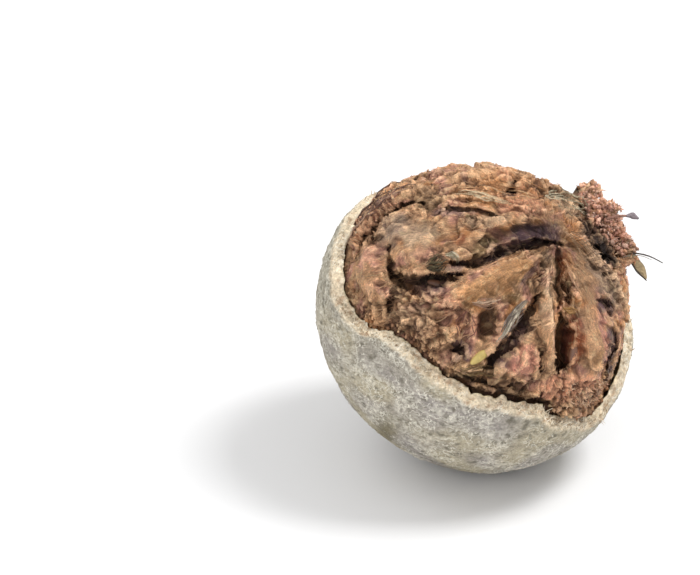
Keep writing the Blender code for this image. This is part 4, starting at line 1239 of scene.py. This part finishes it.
# %% Make the shreds
def make_shreds(name, count, longest, width, curl, weight, sides=6, spread=0.7):
    rings, segments = scatter(count, weight)
    lengths = random.uniform(0.3, 1.0, count) * longest
    turns = random.normal(0, spread, count)
    steps = 6
    share = np.linspace(0, 1, steps)[None]
    lift = -0.15 * MM + curl * random.uniform(0.1, 1.0, count)[:, None] * share**2
    lift = lift + 0.12 * MM * random.normal(size=(count, steps))
    waves = random.normal(0, 0.05, count)
    paths, normals, paint = lying_paths(rings, segments, lengths, turns, waves, steps, lift)
    tilt = random.normal(0, 0.45, (count, 1, 3))
    normals = unit(normals + tilt)
    shape = np.array([0.7, 1.0, 0.9, 0.85, 0.6, 0.15])[None]
    wide = width * random.uniform(0.35, 1.3, count)[:, None] * shape
    wide = wide * random.uniform(0.75, 1.25, (count, steps))
    thin = 0.07 * MM * random.uniform(0.8, 1.4, count)[:, None] * (0.4 + 0.6 * shape)
    grow = 1 + (0.35 * share * random.uniform(0, 1, (count, 1)))
    colours = paint.mean(axis=1)[:, None] * random.uniform(0.75, 1.4, (count, 1, 1)) * grow[..., None]
    tube_piece(name, paths, normals, wide, thin, sides, colours)


on_edges = smooth_step(0.05, 0.5, -pulp_facts["cavity"][1])
front_side = 0.35 + 0.65 * smooth_step(-5 * MM, 5 * MM, pulp_places[..., 2])
shaggy_weight = bare * (0.3 + 0.7 * pulp_facts["shaggy"])
bits_weight = bare * front_side * (0.25 + 0.75 * on_edges) * (1 - 0.75 * pulp_facts["fleshy"])
make_shreds("pulp_shreds", 620, 4.0 * MM, 0.45 * MM, 0.7 * MM, shaggy_weight)
make_shreds("pulp_bits", 2800, 1.9 * MM, 0.22 * MM, 0.4 * MM, bits_weight, sides=4)
fringe_weight = bare * on_edges * front_side
make_shreds("edge_fringe", 1400, 1.6 * MM, 0.12 * MM, 0.75 * MM, fringe_weight, 4, 1.2)

# %% [markdown]
# ### Crumbs
#
# Crumbs of pulp lie in the gap inside the rim, on the crest and all over the crumbly parts. Each is a small
# ball of six by four points, dented by its own random numbers.

# %% Make the crumbs
def ball_scatter(name, middles, sizes, paint):
    """Small dented balls: each point's distance is the ball's size times a random factor near 1."""
    count, columns, rows = len(middles), 6, 4
    polar = np.linspace(0, math.pi, rows + 2)[1:-1]
    around = np.linspace(0, 2 * math.pi, columns, endpoint=False)
    flat = np.sin(polar)[:, None]
    ring = np.broadcast_arrays(flat * np.cos(around), flat * np.sin(around), np.cos(polar)[:, None])
    ball = np.concatenate([[[0, 0, 1]], np.stack(ring, axis=-1).reshape(-1, 3), [[0, 0, -1]]])
    axes = np.linalg.qr(random.normal(size=(count, 3, 3)))[0]
    axes[np.linalg.det(axes) < 0, :, 0] *= -1
    dented = ball[None] * random.uniform(0.5, 1.35, (count, len(ball), 1))
    dented = dented * random.uniform(0.45, 1.2, (count, 1, 3))
    points = middles[:, None] + sizes[:, None, None] * np.einsum("nij,nkj->nki", axes, dented)
    corners, face_sizes = ball_faces(rows, columns)
    starts = np.arange(count)[:, None] * len(ball)
    piece = array_piece(name, face_to_world(points.reshape(-1, 3)), (corners[None] + starts).ravel(),
                        np.tile(face_sizes, count), FLESH)
    store_colours(piece, "paint", np.repeat(paint, len(ball), axis=0))


def make_crumbs(name, count, weight, smallest, largest, raise_by=0.35, codes=()):
    rings, segments = scatter(count, weight)
    sizes = (smallest + (largest - smallest) * random.random(count) ** 2) * MM
    middles = pulp_places[rings, segments] + pulp_normals[rings, segments] * sizes[:, None] * raise_by
    paint = pulp_facts["paint"][rings, segments] * random.uniform(0.7, 1.2, (count, 1))
    if codes:
        tints = pick_colours(codes, count)
        paint = 0.4 * paint + 0.65 * tints * random.uniform(0.7, 1.25, (count, 1))
    ball_scatter(name, middles, sizes, paint)


past_rim = pulp_facts["past_rim"]
in_gap = smooth_step(-2.5, -0.5, past_rim) * (1 - smooth_step(1.5, 6.0, past_rim))
in_gap = in_gap * (pulp_facts["points"][..., 2] > -25 * MM)
low_right = np.exp(-(((np.degrees(pulp_facts["around"]) + 48) / 17) ** 4))
low_left = np.exp(-(((np.degrees(pulp_facts["around"]) + 142) / 22) ** 4))
make_crumbs("pulp_crumbs", 1700, 0.4 * bare * pulp_facts["crumbly"] + in_gap, 0.12, 0.5)
make_crumbs("crumbs_low_right", 900, in_gap * low_right, 0.3, 1.15, 0.9)
make_crumbs("crumbs_low_left", 350, in_gap * low_left, 0.25, 0.8, 0.6)
on_crest = bare * oval_share(pulp_places, (34, 24.5), 13, 5.4, -54, 0.7)
make_crumbs("crumbs_crest", 700, on_crest, 0.22, 0.85, 0.45, ("EAB29C", "F4C6AE", "D69C86", "E4AC88"))

# %% [markdown]
# ### Bundles laid one by one
#
# Some strands have to be where they are in the photograph: the grey membrane beside the slanting cleft, the
# pale fibres over the top, the rope on the right. Each bundle is a path on the face with a lift off the pulp
# in mm, and a number of strands that wander round it.

# %% Find the pulp under a face point
front = (pulp_places[..., 2] > 2 * MM) & (pulp_facts["past_rim"] > -1)
front_places, front_normals = pulp_places[front], pulp_normals[front]
front_paint = pulp_facts["paint"][front]


def on_pulp(face_points):
    """(places, normals, paint) of the pulp where it shows at those face points, in mm."""
    near = []
    for chunk in np.array_split(np.asarray(face_points, float) * MM, max(1, len(face_points) // 200)):
        away = np.linalg.norm(front_places[None, :, :2] - chunk[:, None], axis=-1)
        near.append((away - 0.05 * front_places[None, :, 2]).argmin(axis=1))
    near = np.concatenate(near)
    return front_places[near], front_normals[near], front_paint[near]


def smooth_route(route, steps):
    """A route's points at even shares of its length, rounded by a running mean of the straight runs."""
    route = np.array(route, float)
    lengths = np.concatenate([[0.0], np.cumsum(np.linalg.norm(np.diff(route, axis=0), axis=1))])
    fine = np.linspace(0, lengths[-1], 8 * steps)
    dense = np.stack([np.interp(fine, lengths, column) for column in route.T], axis=-1)
    half = 3 * steps // 4
    padded = np.concatenate([np.repeat(dense[:1], half, axis=0), dense, np.repeat(dense[-1:], half, axis=0)])
    sums = np.cumsum(np.concatenate([np.zeros((1, dense.shape[1])), padded]), axis=0)
    rounded = (sums[2 * half + 1 :] - sums[: -2 * half - 1]) / (2 * half + 1)
    return rounded[np.linspace(0, len(rounded) - 1, steps).astype(int)]


def make_bundle(name, route, count, spread, radius, codes, cover):
    """Strands that follow a (u, v, lift) route, each over its own part of it and off to its own side."""
    fine_steps, steps, flatness = 60, 16, 0.7
    middle = smooth_route(route, fine_steps)
    start = random.uniform(0, 1 - cover, count)
    share = start[:, None] + random.uniform(0.5, 1.0, (count, 1)) * cover * np.linspace(0, 1, steps)[None]
    index = share * (fine_steps - 1)
    route_points = np.stack([np.interp(index, np.arange(fine_steps), column) for column in middle.T], axis=-1)
    run = unit(np.gradient(route_points[..., :2], axis=1))
    side = np.stack([-run[..., 1], run[..., 0]], axis=-1)
    off = random.normal(0, 1, (count, 1)) + 0.45 * np.sin(share * 9 + random.uniform(0, 6.3, (count, 1)))
    spread_here = spread * np.sin(np.pi * np.clip(share, 0.06, 0.94))
    flat = route_points[..., :2] + side * (off * spread_here)[..., None]
    places, normals, _ = on_pulp(flat.reshape(-1, 2))
    places, normals = places.reshape(count, steps, 3), normals.reshape(count, steps, 3)
    for _ in range(2):
        padded = np.concatenate([places[:, :1], places, places[:, -1:]], axis=1)
        places = 0.25 * padded[:, :-2] + 0.5 * padded[:, 1:-1] + 0.25 * padded[:, 2:]
    lift = route_points[..., 2] + 0.5 * spread * random.normal(0, 0.5, (count, 1))
    places = places + (lift * MM)[..., None] * np.array([0, 0, 1.0])
    taper = np.sqrt(np.clip(np.sin(math.pi * (0.05 + 0.9 * np.linspace(0, 1, steps))), 0, 1))[None]
    thick = radius * MM * random.uniform(0.6, 1.35, (count, 1)) * taper
    tints = pick_colours(codes, count) * random.uniform(0.75, 1.15, (count, 1))
    tube_piece(name, places, unit(normals + [0, 0, 0.6]), thick, thick * flatness, 5, tints)


BUNDLES = (
    ("membrane", ((13.2, 4.4, 0.2), (10.6, 2.0, 1.1), (8.8, -1.4, 1.5), (7.2, -4.6, 1.2), (4.6, -7.4, 0.2)),
     60, 0.42, 0.17, ("A89C88", "857868", "C4B8A4", "6A5E54"), 0.7),
    ("membrane_edge", ((12.4, 2.4, 0.6), (8.0, -3.4, 1.3), (5.5, -6.4, 0.8)), 8, 0.9, 0.2,
     ("8E7068", "A08C80"), 0.7),
    ("pale_arc", ((-7, 30.0, 0.2), (-1, 30.2, 0.5), (4, 28.9, 0.5), (9.5, 27.5, 0.2)), 16, 0.4, 0.14,
     ("C4A884", "AE8E6C", "D8C09C"), 0.6),
    ("hub_edge", ((21.8, 14.5, 0.1), (24, 8.4, 0.5), (26.5, 4.2, 0.2)), 9, 0.2, 0.14, ("DDB494", "C4946E"),
     0.6),
    ("skin_rope", ((21, 21.5, 0.1), (26, 18.6, 0.5), (30.3, 13.8, 0.5), (33.8, 9.3, 0.4), (36.6, 3.5, 0.2)),
     16, 1.0, 0.1, ("A88A6C", "8C6E54", "BC9C7C"), 0.4),
    ("cavity_fold", ((21.0, 2.2, 0.2), (23.3, 1.0, 0.9), (26.0, 1.4, 0.2)), 12, 0.5, 0.16,
     ("B88C58", "98703F"), 0.7),
    ("ridge_edge", ((19.4, -0.5, 0.1), (19.6, -6, 0.4), (19.4, -13, 0.1)), 10, 0.2, 0.12,
     ("D0A684", "B8886A"), 0.6),
    ("lobe_edge", ((-5, 10.2, 0.1), (2.5, 12.0, 0.2), (9, 15.0, 0.2), (17, 16.8, 0.1)), 14, 0.25, 0.11,
     ("CFA07C", "B08058"), 0.5),
    ("lobe_skirt", ((-1.5, 3.0, 0.2), (2.5, 2.6, 0.6), (7, 4.2, 0.2)), 16, 0.5, 0.14, ("CDAE92", "B48E74"),
     0.6),
    ("lining_fibres",
     ((-35.5, 15, 0.1), (-31.5, 21.5, 0.4), (-26, 27, 0.4), (-20, 31, 0.3), (-13, 33.2, 0.1)), 30, 1.5, 0.22,
     ("8A6452", "A8866E", "5C4034", "96705C"), 0.4),
    ("top_streaks", ((-6, 31.5, 0.1), (2, 33, 0.3), (11, 31.5, 0.3), (20, 29, 0.1)), 22, 2.0, 0.14,
     ("BC8C64", "A87850", "D2AA80"), 0.35),
    ("top_right_fibres", ((16, 30, 0.2), (22, 30.5, 0.4), (27, 28, 0.4), (30, 24, 0.2)), 40, 1.7, 0.13,
     ("CFC2A4", "B8A88A", "9C8C72"), 0.4),
    ("shelf", ((-5, -14.5, 0.1), (1, -13.6, 0.4), (8, -14.2, 0.1)), 12, 0.6, 0.15, ("8E744E", "725638"), 0.6),
    ("upright_strands", ((-1.5, 1.5, 0.2), (-2.5, -3, 0.4), (-3.5, -8, 0.2)), 14, 1.6, 0.12,
     ("9C6E5C", "84584A"), 0.5),
    ("flap", ((-12.8, 11.4, 0.2), (-10.0, 12.2, 0.7), (-7.4, 13.2, 1.2), (-5.4, 12.6, 1.0)), 26, 1.2, 0.15,
     ("54492F", "453A26", "6A5D42", "3A3022"), 0.7),
    ("flap_fringe", ((-8.0, 14.6, 1.6), (-6.0, 14.8, 2.0), (-4.6, 13.2, 1.8), (-4.9, 11.6, 1.2)), 18, 0.35,
     0.12, ("C8BCA0", "A89C80", "D8CEB6"), 0.7),
)
for label, *bundle in BUNDLES:
    make_bundle("strands_" + label, *bundle)

# %% [markdown]
# ### Tufts and wisps
#
# The crest at the upper right is covered in short pink hairs, and so are a few other shaggy places, each in
# its own colours. A long dark thread, a dry scale and a knotted fibre stand out of the crest in the air.

# %% Make the tufts and the wisps
def strip_piece(name, route, half_widths, up, half_height, paint):
    """One flat strip along a face route (u, v, w), in mm, with the half widths spread evenly along it."""
    steps, sides = 14, 10
    path = smooth_route(route, steps)[None] * MM
    wide = np.interp(np.linspace(0, 1, steps), np.linspace(0, 1, len(half_widths)), half_widths)[None] * MM
    high = np.full((1, steps), half_height * MM)
    normals = np.broadcast_to(unit(up), path.shape)
    tube_piece(name, path, normals, wide, high, sides, np.array([colour(paint)]))


def make_tuft(name, count, oval, length, radius, lean, codes):
    """Curved hairs that stand out of the pulp inside an oval on the face."""
    chance = oval_share(pulp_places, *oval) * bare
    rings, segments = scatter(count, chance)
    roots, normals = pulp_places[rings, segments], pulp_normals[rings, segments]
    steps = 7
    share = np.linspace(0, 1, steps)[None, :, None]
    out = unit(normals + random.normal(0, lean, (count, 3)))
    bend = random.normal(0, 0.6, (count, 3)) + np.array([0.1, -0.45, 0.1])
    reach = length * MM * random.uniform(0.3, 1.0, (count, 1, 1))
    curl = 0.12 * np.sin(share * random.uniform(4, 11, (count, 1, 1)) + random.uniform(0, 6, (count, 1, 1)))
    side = unit(np.cross(out, bend))[:, None]
    paths = roots[:, None] - 0.3 * MM * out[:, None]
    paths = paths + reach * (share * out[:, None] + 0.45 * share**2 * bend[:, None]) + reach * curl * side
    taper = np.array([1.0, 1.0, 0.9, 0.8, 0.65, 0.45, 0.15])[None]
    thick = radius * MM * random.uniform(0.5, 1.5, (count, 1)) * taper
    tints = pick_colours(codes, count) * random.uniform(0.7, 1.15, (count, 1))
    side = np.broadcast_to(side, paths.shape)
    tube_piece(name, paths, side, thick * random.uniform(1, 2.4, (count, 1)), thick * 0.6, 5, tints)


TUFTS = (
    ("tuft_pink", 420, ((33, 26.5), 12, 5.4, -52, 0.7), 1.7, 0.14, 1.1,
     ("ECB6A0", "F4C8B2", "CC9280", "FFDCC8")),
    ("tuft_orange", 120, ((37, 17), 7, 2.8, -62, 0.6), 1.7, 0.14, 1.0, ("D8A27A", "C08660", "E6BE98")),
    ("tuft_top", 160, ((4, 34), 22, 4.5, -4, 0.7), 1.5, 0.11, 1.0, ("B08660", "C49C78", "946A48")),
    ("tuft_low_right", 280, ((27, -20), 9, 4.8, 15, 0.6), 1.5, 0.11, 1.0, ("E0AC8C", "ECC8A6", "B88464")),
    ("tuft_lining", 150, ((-26.5, 26.5), 14, 4.0, 47, 0.6), 1.2, 0.11, 1.0, ("C8B494", "DCCAA6", "8E7660")),
)
for tuft in TUFTS:
    make_tuft(*tuft)

WISPS = (
    ("thread", ((30, 13.5, 3), (38.5, 16.3, 3), (42.5, 16, 3), (45.2, 14.9, 3), (47.5, 13.6, 3)),
     (0.3, 0.3, 0.22, 0.2, 0.12), (0, 0.3, 1), 0.2, "4E453E"),
    ("thread_beside", ((33, 13.8, 4), (38.6, 15.7, 3.6), (42, 15.6, 3.2), (44.6, 14.4, 3)),
     (0.14, 0.14, 0.1, 0.06), (0, 0.3, 1), 0.12, "8E8070"),
    ("scale", ((38.0, 16.0, 3), (40.2, 14.4, 3), (41.7, 12.0, 3), (43.1, 9.6, 3)),
     (0.6, 1.3, 1.0, 1.3, 0.9, 0.2), (0.2, 0.2, 1), 0.22, "A08C6A"),
    ("scale_edge", ((39.0, 14.0, 3.2), (40.6, 11.6, 3.3), (43.2, 9.2, 3.1)), (0.2, 0.3, 0.12), (0.2, 0.2, 1),
     0.2, "3E342A"),
    ("knotted_fibre", ((32.5, 24.6, 8.5), (35, 25.3, 10.2), (37, 25.5, 11), (39.5, 25.1, 11)),
     (0.4, 0.42, 0.32, 0.22), (0, 0.3, 1), 0.3, "9C7464"),
    ("knot", ((37.4, 25.4, 11), (38.8, 25.6, 11.2), (40.6, 24.7, 11)), (0.3, 0.95, 0.2), (0, 0.2, 1), 0.6,
     "8C8084"),
)
for label, *wisp in WISPS:
    strip_piece("wisp_" + label, *wisp)

# %% [markdown]
# ### Whiskers on the rim
#
# The rind is fibrous, so its broken edge ends in short pale whiskers.

# %% Make the whiskers
def make_whiskers(name, count, low, high, longest, radius, codes):
    """Bent hairs rooted in the rim's broken edge between two angles round the axis, in degrees."""
    around = np.radians(random.uniform(low, high, count))
    rim = rim_polar(around) + fine_jags(around)
    towards = directions(rim, around)
    inwards = directions(rim - 0.02, around)
    depth = random.uniform(0.3, 2.2, count)[:, None] * MM
    roots = towards * (fruit_radius(towards)[:, None] - depth)
    lean = unit(inwards - towards) + random.normal(0, 0.55, (count, 3)) + 0.25 * towards
    bend = random.normal(0, 0.5, (count, 3))
    share = np.linspace(0, 1, 6)[None, :, None]
    reach = longest * MM * random.uniform(0.25, 1.0, (count, 1, 1))
    paths = roots[:, None] + reach * (share * unit(lean)[:, None] + 0.5 * share**2 * bend[:, None])
    paths = paths - 0.2 * MM * lean[:, None]
    taper = np.array([1.0, 1.0, 0.9, 0.75, 0.5, 0.2])[None]
    thick = radius * MM * random.uniform(0.6, 1.5, (count, 1)) * taper
    tints = pick_colours(codes, count)
    across = np.broadcast_to(unit(np.cross(lean, bend))[:, None], paths.shape)
    material = shell_skin.data.materials[0]
    tube_piece(name, paths, across, thick * 1.6, thick * 0.6, 4, tints, material)


make_whiskers("rim_whiskers", 520, -180, 180, 1.3, 0.09, ("DCCBB0", "B8A082", "EADFC8"))
make_whiskers("rim_whiskers_low", 260, -82, -30, 2.2, 0.1, ("E8DAC0", "C8AE90", "F0E6D2"))
make_whiskers("rim_whiskers_left", 160, -165, -120, 1.6, 0.1, ("D8C8AC", "A88E72", "E6DAC2"))

# %% [markdown]
# ### Seeds
#
# The seeds are flat ovals. One lies bare and yellowish where the flesh has torn away round it, and two are
# still sunk in the pulp, brown with it.

# %% Make the seeds
# Each seed's place on the face, its lean in degrees, how far it stands out in mm, and its coat
SEEDS = (((1.0, -10.4), 40, 0.3, "bare"), ((24.0, -9.5), 80, -0.2, "sunk"), ((-9.5, 7.2), -20, -0.2, "sunk"))
SEED_HALVES = (2.7 * MM, 1.3 * MM, 0.95 * MM)


def seed_material(name, code):
    material, nodes, links, shader = new_material(name, 0.42)
    where = nodes.new("ShaderNodeTexCoord").outputs["Object"]
    paint = place_group(nodes, links, MOTTLE, where, Color=(*colour(code), 1), Scale=900.0, Amount=0.3)
    links.new(paint.outputs["Color"], shader.inputs["Base Color"])
    grain = place_group(nodes, links, GRAIN, where, Scale=2600.0, Depth=0.00008)
    links.new(grain.outputs["Normal"], shader.inputs["Normal"])
    return material


def seed_shape():
    """(first, rings, last): a flattened ball along x, narrower towards its far end."""
    polar = np.linspace(0, math.pi, 14)[1:-1, None]
    around = np.linspace(0, 2 * math.pi, 20, endpoint=False)[None]
    narrow = 1 - 0.28 * (1 - np.cos(polar)) / 2
    flat = np.sin(polar) * narrow
    rings = np.broadcast_arrays(np.cos(polar), flat * np.cos(around), flat * np.sin(around))
    return np.array([1.0, 0, 0]), np.stack(rings, axis=-1), np.array([-1.0, 0, 0])


def make_seed(number, place, lean, stand_out, coat):
    middle, normal, _ = (part[0] for part in on_pulp([place]))
    facing = unit(normal + np.array([0, 0, 2.0]))
    lean = math.radians(lean)
    long_way = unit(np.cross(np.cross(facing, [math.cos(lean), math.sin(lean), 0]), facing))
    axes = np.stack([long_way, np.cross(facing, long_way), facing], axis=0)
    middle = middle + stand_out * MM * facing
    first, rings, last = (face_to_world(part * SEED_HALVES @ axes + middle) for part in seed_shape())
    seed = ball_piece(f"seed_{number}", first, rings, last, coat)


SEED_COATS = {
    "bare": seed_material("seed coat", "B09A58"), "sunk": seed_material("seed coat under pulp", "6A4836"),
}
for number, (place, lean, stand_out, coat) in enumerate(SEEDS):
    make_seed(number, place, lean, stand_out, SEED_COATS[coat])
